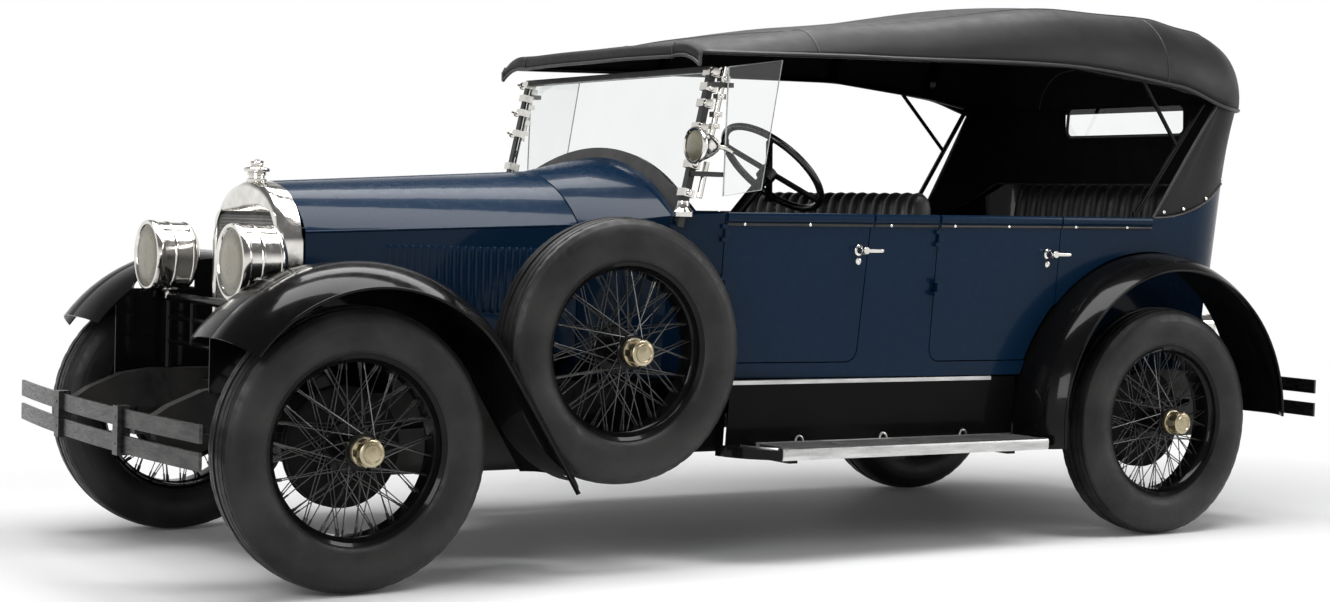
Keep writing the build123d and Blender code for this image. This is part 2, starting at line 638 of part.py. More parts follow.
def cowl_section(station, inset):
    """Arched cross-section of the cowl at a station."""
    first, middle, last = COWL_SECTIONS
    before, after = (first, middle) if station <= middle[0] else (middle, last)
    share = (station - before[0]) / (after[0] - before[0])
    _, half, crease, crown, foot = (a + (b - a) * share for a, b in zip(before, after))
    half = half - inset
    foot = foot - inset
    crease = crease - 0.5 * inset
    low = SILL_Z + 0.8 * inset
    with BuildSketch(Plane.YZ.offset(aft(station))) as section:
        with BuildLine():
            Polyline((half, crease), (foot, low), (-foot, low), (-half, crease))
            ThreePointArc((half, crease), (0, crown - inset), (-half, crease))
        make_face()
    return section.sketch.face()


def cowl_solid(stations, inset):
    with BuildPart() as solid:
        loft(sections=[cowl_section(station, inset) for station in stations], ruled=True)
    return solid.part


cowl_outer = cowl_solid((COWL_FRONT_AFT, COWL_SECTIONS[1][0], COWL_SECTIONS[2][0]), 0)
with BuildPart() as cowl:
    add(cowl_outer)
    add(cowl_solid((COWL_FRONT_AFT + FIREWALL, COWL_SECTIONS[1][0], DASH_AFT), COWL_WALL), mode=Mode.SUBTRACT)
    add(cowl_solid((COWL_OPEN_AFT, COWL_SECTIONS[2][0]), COWL_WALL), mode=Mode.SUBTRACT)
    with Locations((aft(DASH_AFT + DASH_THICKNESS / 2), 0, SILL_Z + 0.8 * COWL_WALL)):
        Box(DASH_THICKNESS + 4, 1040, 380, align=(Align.CENTER, Align.CENTER, Align.MIN), mode=Mode.SUBTRACT)
    with Locations((aft(COWL_OPEN_AFT), 0, BELT_FRONT_Z)):
        Box(300, 1400, 400, align=(Align.MAX, Align.CENTER, Align.MIN), mode=Mode.SUBTRACT)
    add(hood_line(lambda half, crease, crown: (0, crown - HOOD_SKIN / 2), HOOD_ROD_RADIUS,
                  COWL_FRONT_AFT - HOOD_REAR_AFT + 20))
    for z in HINGE_HEIGHTS:
        pillar_hinge = hinge_barrels(*FRONT_HINGE, z, False)
        add(pillar_hinge)
        add(mirrored(pillar_hinge))
keep("cowl", cowl.part)

with BuildPart() as hood_top_left:
    for station, half, crease, crown in HOOD_ENDS:
        rise = crown - crease
        radius = (half * half + rise * rise) / (2 * rise)
        centre_z = crown - radius
        shrink = (radius - HOOD_SKIN) / radius
        with BuildSketch(Plane.YZ.offset(aft(station))):
            with BuildLine():
                arcs = []
                inner_z = centre_z + (crease - centre_z) * shrink
                for r, end_y, end_z in ((radius, half, crease), (radius - HOOD_SKIN, half * shrink, inner_z)):
                    start_z = centre_z + (r * r - HOOD_SPLIT * HOOD_SPLIT) ** 0.5
                    mid_y = 0.55 * end_y
                    mid_z = centre_z + (r * r - mid_y * mid_y) ** 0.5
                    arcs.append(ThreePointArc((HOOD_SPLIT, start_z), (mid_y, mid_z), (end_y, end_z)))
                Line(arcs[0] @ 0, arcs[1] @ 0)
                Line(arcs[0] @ 1, arcs[1] @ 1)
            make_face()
    loft(ruled=True)
    add(hood_line(lambda half, crease, crown: (half - HOOD_SKIN / 2, crease), HOOD_BEAD_RADIUS, 0))
keep("hood_top_left", hood_top_left.part)
keep("hood_top_right", mirrored(hood_top_left.part))

with BuildPart() as hood_side_left:
    for station, half, crease, crown in HOOD_ENDS:
        with BuildSketch(Plane.YZ.offset(aft(station))):
            with BuildLine():
                Polyline((half, crease - HOOD_SIDE_GAP), (half, HOOD_LOW_Z), (half - HOOD_SKIN, HOOD_LOW_Z),
                         (half - HOOD_SKIN, crease - HOOD_SIDE_GAP), close=True)
            make_face()
    loft(ruled=True)
    (front_aft, front_half, _, _), (rear_aft, rear_half, _, _) = HOOD_ENDS
    along = Vector(rear_aft - front_aft, front_half - rear_half, 0)
    outward = along.rotate(Axis.Z, 90)
    side_plane = Plane(origin=(aft(rear_aft), rear_half, LOUVRE_Z), x_dir=along, z_dir=outward)
    with Locations(side_plane):
        with Locations(*((LOUVRE_FIRST + i * LOUVRE_PITCH, 0, 0) for i in range(LOUVRES))):
            Box(9, LOUVRE_HEIGHT, 10)
keep("hood_side_left", hood_side_left.part)
keep("hood_side_right", mirrored(hood_side_left.part))

# Radiator
RADIATOR_FACE_AFT = -53.5
RADIATOR_DEPTH = 79.0
RADIATOR_HALF = 296.0
RADIATOR_LOW_Z = 560.0 + SEAT_GAP
RADIATOR_SHOULDER_Z = 1040.0
RADIATOR_TOP_Z = 1235.0
CORE_HALF = 258.0
CORE_LOW_Z = 590.0
CORE_TOP_Z = 1130.0
CORE_CORNER = 45.0
CAP_HEIGHT = 70.0

with BuildPart() as radiator_surround:
    with BuildSketch(Plane.YZ.offset(aft(RADIATOR_FACE_AFT))):
        with BuildLine():
            Polyline((RADIATOR_HALF, RADIATOR_SHOULDER_Z), (RADIATOR_HALF, RADIATOR_LOW_Z),
                     (-RADIATOR_HALF, RADIATOR_LOW_Z), (-RADIATOR_HALF, RADIATOR_SHOULDER_Z))
            ThreePointArc((RADIATOR_HALF, RADIATOR_SHOULDER_Z), (215, 1168), (90, 1222))
            ThreePointArc((90, 1222), (0, RADIATOR_TOP_Z), (-90, 1222))
            ThreePointArc((-90, 1222), (-215, 1168), (-RADIATOR_HALF, RADIATOR_SHOULDER_Z))
        make_face()
    extrude(amount=-RADIATOR_DEPTH)
    with BuildSketch(Plane.YZ.offset(aft(RADIATOR_FACE_AFT))):
        with Locations((0, (CORE_LOW_Z + CORE_TOP_Z) / 2)):
            RectangleRounded(2 * CORE_HALF, CORE_TOP_Z - CORE_LOW_Z, CORE_CORNER)
    extrude(amount=-RADIATOR_DEPTH, mode=Mode.SUBTRACT)
    with BuildSketch(Plane.XZ):
        with BuildLine():
            cap_x = aft(RADIATOR_FACE_AFT + RADIATOR_DEPTH / 2)
            Polyline((cap_x, RADIATOR_TOP_Z - 20), (cap_x + 26, RADIATOR_TOP_Z - 20),
                     (cap_x + 26, RADIATOR_TOP_Z + 18),
                     (cap_x + 40, RADIATOR_TOP_Z + 24), (cap_x + 40, RADIATOR_TOP_Z + 40),
                     (cap_x + 18, RADIATOR_TOP_Z + 52), (cap_x + 12, RADIATOR_TOP_Z + CAP_HEIGHT),
                     (cap_x, RADIATOR_TOP_Z + CAP_HEIGHT), close=True)
        make_face()
    revolve(axis=Axis((cap_x, 0, 0), (0, 0, 1)))
keep("radiator_surround", radiator_surround.part)

with BuildPart() as radiator_core:
    with BuildSketch(Plane.YZ.offset(aft(RADIATOR_FACE_AFT + 10))):
        with Locations((0, (CORE_LOW_Z + CORE_TOP_Z) / 2)):
            RectangleRounded(2 * (CORE_HALF - SEAT_GAP), CORE_TOP_Z - CORE_LOW_Z - 2 * SEAT_GAP,
                             CORE_CORNER - SEAT_GAP)
    extrude(amount=-RADIATOR_DEPTH + 16)
keep("radiator_core", radiator_core.part)

# Lamps
LAMP_FACE_AFT = -248.0
LAMP_Y = 371.0
LAMP_Z = 977.0
LAMP_RADIUS = 119.0
LAMP_LENGTH = 172.0
LENS_RADIUS = 104.0
LENS_DEPTH = 10.0
LAMP_BAR_AFT = -165.0
LAMP_BAR_Z = 838.0
LAMP_BAR_RADIUS = 15.0

with BuildPart() as headlamps:
    with BuildSketch(Plane.XY):
        with BuildLine():
            face = aft(LAMP_FACE_AFT)
            Polyline((face - LENS_DEPTH, 0), (face - LENS_DEPTH, LENS_RADIUS), (face, LENS_RADIUS),
                     (face, LAMP_RADIUS), (face - 24, LAMP_RADIUS), (face - 28, LAMP_RADIUS - 6),
                     (face - LAMP_LENGTH + 46, LAMP_RADIUS - 8), (face - LAMP_LENGTH + 42, LAMP_RADIUS - 14))
            Polyline((face - LAMP_LENGTH + 42, LAMP_RADIUS - 14), (face - LAMP_LENGTH + 16, 74),
                     (face - LAMP_LENGTH, 34), (face - LAMP_LENGTH, 0), (face - LENS_DEPTH, 0))
        make_face()
    revolve(axis=Axis.X)
    lamp = headlamps.part
with BuildPart() as headlamps:
    add(lamp.moved(Location((0, LAMP_Y, LAMP_Z))))
    mirror(about=Plane.XZ)
keep("headlamps", headlamps.part)

with BuildPart() as headlamp_lenses:
    for sign in (1, -1):
        with BuildSketch(Plane.YZ.offset(aft(LAMP_FACE_AFT) - LENS_DEPTH + SEAT_GAP)):
            with Locations((sign * LAMP_Y, LAMP_Z)):
                Circle(LENS_RADIUS - SEAT_GAP)
        extrude(amount=LENS_DEPTH - 2)
keep("headlamp_lenses", headlamp_lenses.part)

with BuildPart() as lamp_bar:
    bar_x = aft(LAMP_BAR_AFT)
    with Locations((bar_x, 0, LAMP_BAR_Z)):
        Cylinder(LAMP_BAR_RADIUS, 2 * LAMP_Y + 60, rotation=(90, 0, 0))
    post_height = LAMP_Z - LAMP_RADIUS + 10 - SEAT_GAP - RAIL_TOP_Z
    for sign in (1, -1):
        with Locations((bar_x, sign * LAMP_Y, RAIL_TOP_Z + SEAT_GAP)):
            Cylinder(13, post_height, align=(Align.CENTER, Align.CENTER, Align.MIN))
    for z in (690, 770):
        with Locations((bar_x, 0, z)):
            Cylinder(8, 2 * LAMP_Y, rotation=(90, 0, 0))
    for y in (150, -150):
        with Locations((bar_x, y, 690)):
            Cylinder(9, LAMP_BAR_Z - 690, align=(Align.CENTER, Align.CENTER, Align.MIN))
    add(headlamps.part, mode=Mode.SUBTRACT)
keep("lamp_bar", lamp_bar.part)


# Spare wheels stand in wells in the front fenders
SPARE_X = aft(941)
SPARE_Y = 725.0
SPARE_Z = 718.0
WELL_LIP_DROP = 38.0
WELL_GAP = 10.0

# Fenders: crown path about the axle, cross-section across the car
FENDER_SKIN = 5.0
FENDER_OUTER_Y = 865.0
FRONT_FENDER_RADIUS = 560.0
FRONT_FENDER_BACK = 45.0
FRONT_FENDER_START = 36.0
FRONT_FENDER_SWEEP = 112.0
FRONT_FENDER_TAIL = 489.0
FRONT_FENDER_INNER_Y = 425.0
FRONT_FENDER_DROP = 72.0
REAR_FENDER_RADIUS = 635.0
REAR_FENDER_START = -8.0
REAR_FENDER_SWEEP = 187.0
REAR_FENDER_DROP = 58.0



def well_block(grow):
    """Space of the left spare tyre in its fender well, grown all round."""
    with BuildPart() as block:
        with Locations((SPARE_X, SPARE_Y, SPARE_Z)):
            Cylinder(TYRE_RADIUS + WELL_GAP + grow, TYRE_WIDTH + 2 * (WELL_GAP + grow), rotation=(90, 0, 0))
    return block.part


# The pan of the well bulges ahead of the fender's straight tail
tail_angle = FRONT_FENDER_START + FRONT_FENDER_SWEEP
tail_top = (FRONT_X - FRONT_FENDER_BACK + FRONT_FENDER_RADIUS * cos(radians(tail_angle)), 0,
            HUB_Z + FRONT_FENDER_RADIUS * sin(radians(tail_angle)))
tail_ahead = (-cos(radians(tail_angle)), 0, -sin(radians(tail_angle)))
with BuildPart() as under_tail:
    for width, drop in ((2 * SPARE_Y, 0), (2000, WELL_LIP_DROP)):
        with Locations(Plane(origin=tail_top, x_dir=(0, 1, 0), z_dir=tail_ahead).offset(drop)):
            Box(width, 2000, 1000, align=(Align.CENTER, Align.CENTER, Align.MIN))
with BuildPart() as well_pan:
    add(well_block(FENDER_SKIN))
    add(under_tail.part, mode=Mode.INTERSECT)
    add(well_block(0), mode=Mode.SUBTRACT)

with BuildPart() as front_fenders:
    with BuildLine(Plane.XZ) as crown_path:
        over = CenterArc((FRONT_X - FRONT_FENDER_BACK, HUB_Z), FRONT_FENDER_RADIUS, FRONT_FENDER_START,
                         FRONT_FENDER_SWEEP)
        Line(over @ 1, over @ 1 + (over % 1) * FRONT_FENDER_TAIL)
    nose = Plane(origin=over @ 0, x_dir=(0, -1, 0), z_dir=over % 0)
    with BuildSketch(nose):
        with BuildLine():
            inner_y = -FRONT_FENDER_INNER_Y
            outer_y = -FENDER_OUTER_Y
            drop = -FRONT_FENDER_DROP
            ThreePointArc((inner_y, -22), (inner_y - 110, -4), (-640, 0))
            ThreePointArc((-640, 0), (-782, -18), (outer_y, drop))
            Line((outer_y, drop), (outer_y + FENDER_SKIN, drop - 2))
            ThreePointArc((outer_y + FENDER_SKIN, drop - 2), (-779, -23), (-640, -FENDER_SKIN))
            ThreePointArc((-640, -FENDER_SKIN), (inner_y - 110, -4 - FENDER_SKIN),
                          (inner_y, -22 - FENDER_SKIN))
            Line((inner_y, -22 - FENDER_SKIN), (inner_y, -22))
        make_face()
    sweep(path=crown_path.line)
    with BuildSketch(Plane.XZ.offset(-FRONT_FENDER_INNER_Y)):
        with Locations((FRONT_X - FRONT_FENDER_BACK, HUB_Z)):
            Circle(FRONT_FENDER_RADIUS - 24)
        with Locations((FRONT_X - 95, RAIL_TOP_Z - 20)):
            Rectangle(850, 600, align=(Align.CENTER, Align.MIN), mode=Mode.INTERSECT)
    extrude(amount=-FENDER_SKIN)
    foot_width = FRONT_FENDER_INNER_Y + FENDER_SKIN - RAIL_OUTER_Y - SEAT_GAP
    with Locations((FRONT_X - 150, RAIL_OUTER_Y + SEAT_GAP, RAIL_TOP_Z - 30)):
        Box(660, foot_width, 24, align=(Align.CENTER, Align.MIN, Align.MIN))
    add(well_block(0), mode=Mode.SUBTRACT)
    add(well_pan.part)
    with Locations((aft(LAMP_FACE_AFT) - LAMP_LENGTH - 20, LAMP_Y, LAMP_Z)):
        Cylinder(LAMP_RADIUS + 8, LAMP_LENGTH + 120, rotation=(0, 90, 0),
                 align=(Align.CENTER, Align.CENTER, Align.MIN), mode=Mode.SUBTRACT)
    mirror(about=Plane.XZ)
keep("front_fenders", front_fenders.part)

with BuildPart() as rear_fenders:
    with BuildLine(Plane.XZ) as crown_path:
        over = CenterArc((REAR_X, HUB_Z), REAR_FENDER_RADIUS, REAR_FENDER_START, REAR_FENDER_SWEEP)
    nose = Plane(origin=over @ 0, x_dir=(0, -1, 0), z_dir=over % 0)
    with BuildSketch(nose):
        with BuildLine():
            inner_y = -ARCH_INNER_Y - SEAT_GAP
            outer_y = -FENDER_OUTER_Y
            drop = -REAR_FENDER_DROP
            Line((inner_y, 0), (-690, 0))
            ThreePointArc((-690, 0), (-800, -15), (outer_y, drop))
            Line((outer_y, drop), (outer_y + FENDER_SKIN, drop - 2))
            ThreePointArc((outer_y + FENDER_SKIN, drop - 2), (-797, -20), (-690, -FENDER_SKIN))
            Line((-690, -FENDER_SKIN), (inner_y, -FENDER_SKIN))
            Line((inner_y, -FENDER_SKIN), (inner_y, 0))
        make_face()
    sweep(path=crown_path.line)
    mirror(about=Plane.XZ)
keep("rear_fenders", rear_fenders.part)

# Running boards and splash aprons
BOARD_TOP_Z = 387.0
BOARD_THICKNESS = 34.0
BOARD_OUTER_Y = 842.0
BOARD_INNER_Y = 643.0
BOARD_FRONT_X = aft(1456)
BOARD_REAR_X = REAR_X + REAR_FENDER_RADIUS + 6
APRON_Y = 640.0
APRON_SKIN = 6.0
APRON_STEP_X = aft(1430)
APRON_FRONT_X = aft(800)

with BuildPart() as running_boards:
    with BuildSketch(Plane.XY.offset(BOARD_TOP_Z - BOARD_THICKNESS)):
        with BuildLine():
            nose_inner = (BOARD_FRONT_X + 70, BOARD_INNER_Y)
            nose_outer = (BOARD_FRONT_X - 60, BOARD_OUTER_Y)
            Polyline(nose_outer, (BOARD_REAR_X, BOARD_OUTER_Y), (BOARD_REAR_X, BOARD_INNER_Y), nose_inner)
            ThreePointArc(nose_inner, (BOARD_FRONT_X + 25, 770), nose_outer)
        make_face()
    extrude(amount=BOARD_THICKNESS)
    for x in (BOARD_FRONT_X - 160, (BOARD_FRONT_X + BOARD_REAR_X) / 2, BOARD_REAR_X + 120):
        with BuildSketch(Plane.YZ.offset(x)):
            with BuildLine():
                low = BOARD_TOP_Z - BOARD_THICKNESS
                Polyline((RAIL_OUTER_Y + SEAT_GAP, 530), (RAIL_OUTER_Y + SEAT_GAP, 490), (600, low - 18),
                         (800, low - 18), (800, low + 4), (612, low + 4), close=True)
            make_face()
        extrude(amount=36)
    mirror(about=Plane.XZ)
keep("running_boards", running_boards.part)

with BuildPart() as splash_aprons:
    # Apron lengths: from, to, how far inboard
    for rear_x, front_x, inboard in ((BOARD_REAR_X, APRON_STEP_X, 0),
                                     (APRON_STEP_X - 20, APRON_FRONT_X, 46)):
        with BuildSketch(Plane.YZ.offset(rear_x)):
            with BuildLine():
                foot = APRON_Y - inboard
                brow = foot + 17
                Polyline((RAIL_OUTER_Y + SEAT_GAP, 603), (brow, 603), (brow, 588), (foot, 362),
                         (foot - APRON_SKIN, 362), (brow - APRON_SKIN, 588), (brow - APRON_SKIN, 597),
                         (RAIL_OUTER_Y + SEAT_GAP, 597), close=True)
            make_face()
        extrude(amount=front_x - rear_x)
    for x in (BOARD_FRONT_X - 160, (BOARD_FRONT_X + BOARD_REAR_X) / 2, BOARD_REAR_X + 120):
        with Locations((x + 18, 620, 350)):
            Box(44, 80, 60, mode=Mode.SUBTRACT)
    with Locations((SPARE_X, RAIL_OUTER_Y, 600)):
        Box(56, 330, 40, mode=Mode.SUBTRACT)
    mirror(about=Plane.XZ)
keep("splash_aprons", splash_aprons.part)

# Windscreen: a raked frame that stands on the arched cowl
SCREEN_BASE_AFT = 1243.0
SCREEN_BASE_Z = 1190.0
SCREEN_TOP_AFT = 1347.0
SCREEN_TOP_Z = 1660.0
POST_Y = 620.0
POST_HALF = 12.0
GLASS_THICKNESS = 6.0
SCREEN_ARCH = 208.0
rake = Vector(aft(SCREEN_TOP_AFT) - aft(SCREEN_BASE_AFT), 0, SCREEN_TOP_Z - SCREEN_BASE_Z)
screen_height = rake.length
screen_plane = Plane(origin=(aft(SCREEN_BASE_AFT), 0, SCREEN_BASE_Z), x_dir=(0, 1, 0),
                     z_dir=Vector(0, 1, 0).cross(rake))


def screen_x(z):
    """Fore-and-aft place of the windscreen posts at a height."""
    return aft(SCREEN_BASE_AFT) + rake.X * (z - SCREEN_BASE_Z) / rake.Z


def screen_face(grow):
    """Glass outline with an arched lower edge, grown all round."""
    half = POST_Y - POST_HALF - 2 + grow
    with BuildSketch(screen_plane) as outline:
        with BuildLine():
            head = screen_height - 20 + grow
            Polyline((half, 34 - grow), (half, head), (-half, head), (-half, 34 - grow))
            ThreePointArc((-half, 34 - grow), (0, SCREEN_ARCH - grow), (half, 34 - grow))
        make_face()
    return outline.sketch


with BuildPart() as windscreen_glass:
    extrude(screen_face(0), amount=GLASS_THICKNESS / 2, both=True)
keep("windscreen_glass", windscreen_glass.part)

with BuildPart() as windscreen_frame:
    with BuildSketch(screen_plane):
        with BuildLine():
            half = POST_Y + POST_HALF
            Polyline((half, -70), (half, screen_height), (-half, screen_height), (-half, -70))
            ThreePointArc((-half, -70), (0, SCREEN_ARCH - 50), (half, -70))
        make_face()
    extrude(amount=POST_HALF, both=True)
    extrude(screen_face(SEAT_GAP), amount=POST_HALF + 2, both=True, mode=Mode.SUBTRACT)
    for z, reach in ((1300, 110), (1600, 70)):
        for sign in (1, -1):
            with Locations((screen_x(z) + 8, sign * (POST_Y + POST_HALF + 14), z)):
                Box(reach + 8, 35, 16, align=(Align.MAX, Align.CENTER, Align.CENTER))
    add(cowl_outer, mode=Mode.SUBTRACT)
keep("windscreen_frame", windscreen_frame.part)

WING_Y = 664.0
with BuildPart() as wind_wings:
    with BuildSketch(Plane.XZ.offset(-WING_Y)):
        with BuildLine():
            Polyline((aft(1372), 1228), (aft(1380), 1660), (aft(1600), 1696), (aft(1527), 1254), close=True)
        make_face()
    extrude(amount=-GLASS_THICKNESS)
    mirror(about=Plane.XZ)
keep("wind_wings", wind_wings.part)

SPOT_Z = 1392.0
SPOT_Y = 700.0
SPOT_RADIUS = 61.0
with BuildPart() as spot_lamp:
    spot_x = screen_x(SPOT_Z) + 60
    with BuildSketch(Plane.XY.offset(SPOT_Z)):
        with BuildLine():
            Polyline((spot_x, SPOT_Y), (spot_x, SPOT_Y + SPOT_RADIUS), (spot_x - 18, SPOT_Y + SPOT_RADIUS))
            ThreePointArc((spot_x - 18, SPOT_Y + SPOT_RADIUS), (spot_x - 70, SPOT_Y + 42),
                          (spot_x - 100, SPOT_Y))
            Line((spot_x - 100, SPOT_Y), (spot_x, SPOT_Y))
        make_face()
    revolve(axis=Axis((0, SPOT_Y, SPOT_Z), (1, 0, 0)))
    with Locations((screen_x(SPOT_Z), POST_Y + POST_HALF + SEAT_GAP, SPOT_Z)):
        Box(18, SPOT_Y - POST_Y - POST_HALF - SEAT_GAP, 18, align=(Align.CENTER, Align.MIN, Align.CENTER))
keep("spot_lamp", spot_lamp.part)

# Fabric top: roof sections by station, then the rear curtain with its window
ROOF_SKIN = 8.0
# Roof: station behind the front axle, half width, edge height, crown height
ROOF_SECTIONS = (
    (1266.0, 676.0, 1705.0, 1746.0),
    (1980.0, 710.0, 1729.0, 1868.0),
    (2870.0, 742.0, 1751.0, 2003.0),
    (3410.0, 750.0, 1709.0, 2012.0),
    (3680.0, 742.0, 1642.0, 1984.0),
    (3780.0, 712.0, 1636.0, 1956.0),
    (3840.0, 640.0, 1636.0, 1912.0),
    (3872.0, 520.0, 1636.0, 1862.0),
)
CURTAIN_TOP_Z = 1676.0
WINDOW_HALF = 345.0
WINDOW_HEIGHT = 122.0
WINDOW_Z = 1612.0
IRON_FOOT_X = aft(3280)
IRON_HEAD_X = aft(3630)
IRON_HEAD_Y = 706.0
IRON_HEAD_Z = 1672.0


def roof_face(station, half, edge, crown, inset, skirt):
    """Arched roof cross-section, flat over the bows and turned down at the sides."""
    w = half - inset
    top = crown - inset
    h = top - edge
    with BuildSketch(Plane.YZ.offset(aft(station))) as section:
        with BuildLine():
            ThreePointArc((-0.75 * w, top - 0.12 * h), (0, top), (0.75 * w, top - 0.12 * h))
            ThreePointArc((0.75 * w, top - 0.12 * h), (0.93 * w, top - 0.4 * h), (w, edge))
            Polyline((w, edge), (w, edge - skirt), (-w, edge - skirt), (-w, edge))
            ThreePointArc((-w, edge), (-0.93 * w, top - 0.4 * h), (-0.75 * w, top - 0.12 * h))
        make_face()
    return section.sketch.face()


def roof_solid(inset, skirt, lead, tail):
    """Roof block; the first section is led forward and the last one drawn in."""
    rows = [list(row) for row in ROOF_SECTIONS]
    rows[0][0] = rows[0][0] - lead
    rows[-1][0] = rows[-1][0] - tail
    with BuildPart() as block:
        loft(sections=[roof_face(*row, inset, skirt) for row in rows], ruled=True)
    return block.part


def curtain_solid(inset):
    with BuildPart() as block:
        low_z = BELT_REAR_Z - 10
        front_x = TUB_FRONT_X + 4 * inset
        low_y = 688 - inset
        high_y = 734 - inset
        low = plan_face(low_z, front_x, low_y, low_y, low_y, TUB_CORNER_X,
                        (TUB_REAR_X + 47 + inset, 423 - 0.6 * inset), TUB_REAR_X + 12 + inset)
        high = plan_face(CURTAIN_TOP_Z, front_x, high_y, high_y, high_y, aft(3700),
                         (aft(3842) + inset, 590 - 0.6 * inset), aft(3871) + inset)
        loft(sections=[low, high], ruled=True)
    return block.part


window_plane = Plane(origin=(aft(3876), 0, WINDOW_Z), x_dir=(0, -1, 0), z_dir=(-484, 0, 38))
with BuildPart() as top_cover:
    add(curtain_solid(0))
    add(curtain_solid(ROOF_SKIN), mode=Mode.SUBTRACT)
    with BuildSketch(Plane.XZ):
        with BuildLine():
            Polyline((IRON_FOOT_X - 40, BELT_REAR_Z - 60), (IRON_HEAD_X - 40, CURTAIN_TOP_Z + 20),
                     (FRONT_X, CURTAIN_TOP_Z + 20), (FRONT_X, BELT_REAR_Z - 60), close=True)
        make_face()
    extrude(amount=1000, both=True, mode=Mode.SUBTRACT)
    with BuildSketch(Plane.XZ):
        with BuildLine():
            Polyline((BELT_RISE_END_X + 1, TUB_TOP_Z + SEAT_GAP), (BELT_RISE_END_X + 1, TUB_TOP_Z - 300),
                     (-LENGTH / 2, TUB_TOP_Z - 300), (-LENGTH / 2, TUB_TOP_Z + SEAT_GAP), close=True)
        make_face()
    extrude(amount=1000, both=True, mode=Mode.SUBTRACT)
    with BuildSketch(Plane.XZ):
        with BuildLine():
            rise = (BELT_RISE_X, BELT_REAR_Z + SEAT_GAP)
            top = (BELT_RISE_END_X, TUB_TOP_Z + SEAT_GAP)
            Polyline(rise, (FRONT_X, rise[1]), (FRONT_X, rise[1] - 100), (BELT_RISE_END_X, rise[1] - 100),
                     top)
            TangentArc(rise, top, tangent=(-1, 0))
        make_face()
    extrude(amount=1000, both=True, mode=Mode.SUBTRACT)
    curtain = top_cover.part
with BuildPart() as top_cover:
    add(roof_solid(0, 0.5, 0, 0))
    add(roof_solid(ROOF_SKIN, 40, 30, ROOF_SKIN), mode=Mode.SUBTRACT)
    add(curtain)
    with BuildSketch(window_plane):
        RectangleRounded(2 * WINDOW_HALF, WINDOW_HEIGHT, 30)
    extrude(amount=60, both=True, mode=Mode.SUBTRACT)
keep("top_cover", top_cover.part)

with BuildPart() as rear_window:
    with BuildSketch(window_plane):
        RectangleRounded(2 * (WINDOW_HALF - SEAT_GAP), WINDOW_HEIGHT - 2 * SEAT_GAP, 30 - SEAT_GAP)
    extrude(amount=2, both=True)
keep("rear_window", rear_window.part)

BOW_GAP = 8.0
BOW_DEPTH = 26.0
BOW_LENGTH = 30.0
IRON_Y = 655.0
with BuildPart() as top_bows:
    rail = []
    for station, half, edge, crown in ((1290.0,) + ROOF_SECTIONS[0][1:],) + ROOF_SECTIONS[1:4]:
        outside = roof_face(station, half, edge, crown, ROOF_SKIN + BOW_GAP, 0.5)
        inside = roof_face(station, half, edge, crown, ROOF_SKIN + BOW_GAP + BOW_DEPTH, 10)
        extrude(outside, amount=BOW_LENGTH / 2, both=True)
        extrude(inside, amount=BOW_LENGTH, both=True, mode=Mode.SUBTRACT)
        rail.append((aft(station), half - ROOF_SKIN - BOW_GAP - BOW_DEPTH / 2, edge + 2))
    rail.append((IRON_HEAD_X + 20, IRON_HEAD_Y, IRON_HEAD_Z + 4))
    stay = tuple(0.7 * b + 0.3 * a for a, b in zip(rail[2], rail[3]))
    for start, end in zip(rail, rail[1:]):
        for sign in (1, -1):
            add(bar((start[0], sign * start[1], start[2]), (end[0], sign * end[1], end[2]), 9))
    for sign in (1, -1):
        foot = (IRON_FOOT_X, sign * (IRON_Y + 18), BELT_REAR_Z + 8)
        head = (IRON_HEAD_X + 20, sign * IRON_HEAD_Y, IRON_HEAD_Z + 4)
        middle = tuple(0.42 * a + 0.58 * b for a, b in zip(foot, head))
        add(bar(foot, head, 10))
        add(bar(middle, (stay[0], sign * stay[1], stay[2]), 8))
        with Locations((IRON_FOOT_X, sign * (IRON_Y + 18), belt_z(IRON_FOOT_X - 18) + SEAT_GAP / 3)):
            Cylinder(18, 24, align=(Align.CENTER, Align.CENTER, Align.MIN))
keep("top_bows", top_bows.part)

# Seats
FRONT_CUSHION_Z = SILL_Z + FLOOR_THICKNESS - 2 + 190 + SEAT_GAP
REAR_CUSHION_Z = SILL_Z + FLOOR_THICKNESS - 2 + 170 + SEAT_GAP
CUSHION_HEIGHT = 145.0
with BuildPart() as front_seat:
    with Locations((FRONT_SEAT_X - 10, 0, FRONT_CUSHION_Z)):
        Box(520, 1090, CUSHION_HEIGHT, align=(Align.CENTER, Align.CENTER, Align.MIN))
    with BuildSketch(Plane.XZ.offset(-570)):
        with BuildLine():
            back_x = FRONT_SEAT_X - 10 - 260 - SEAT_GAP
            Polyline((back_x, FRONT_CUSHION_Z + 20), (back_x - 110, FRONT_CUSHION_Z + 20),
                     (back_x - 150, 1250), (back_x - 110, 1276), (back_x - 50, 1262), close=True)
        make_face()
    extrude(amount=1140)
keep("front_seat", front_seat.part)

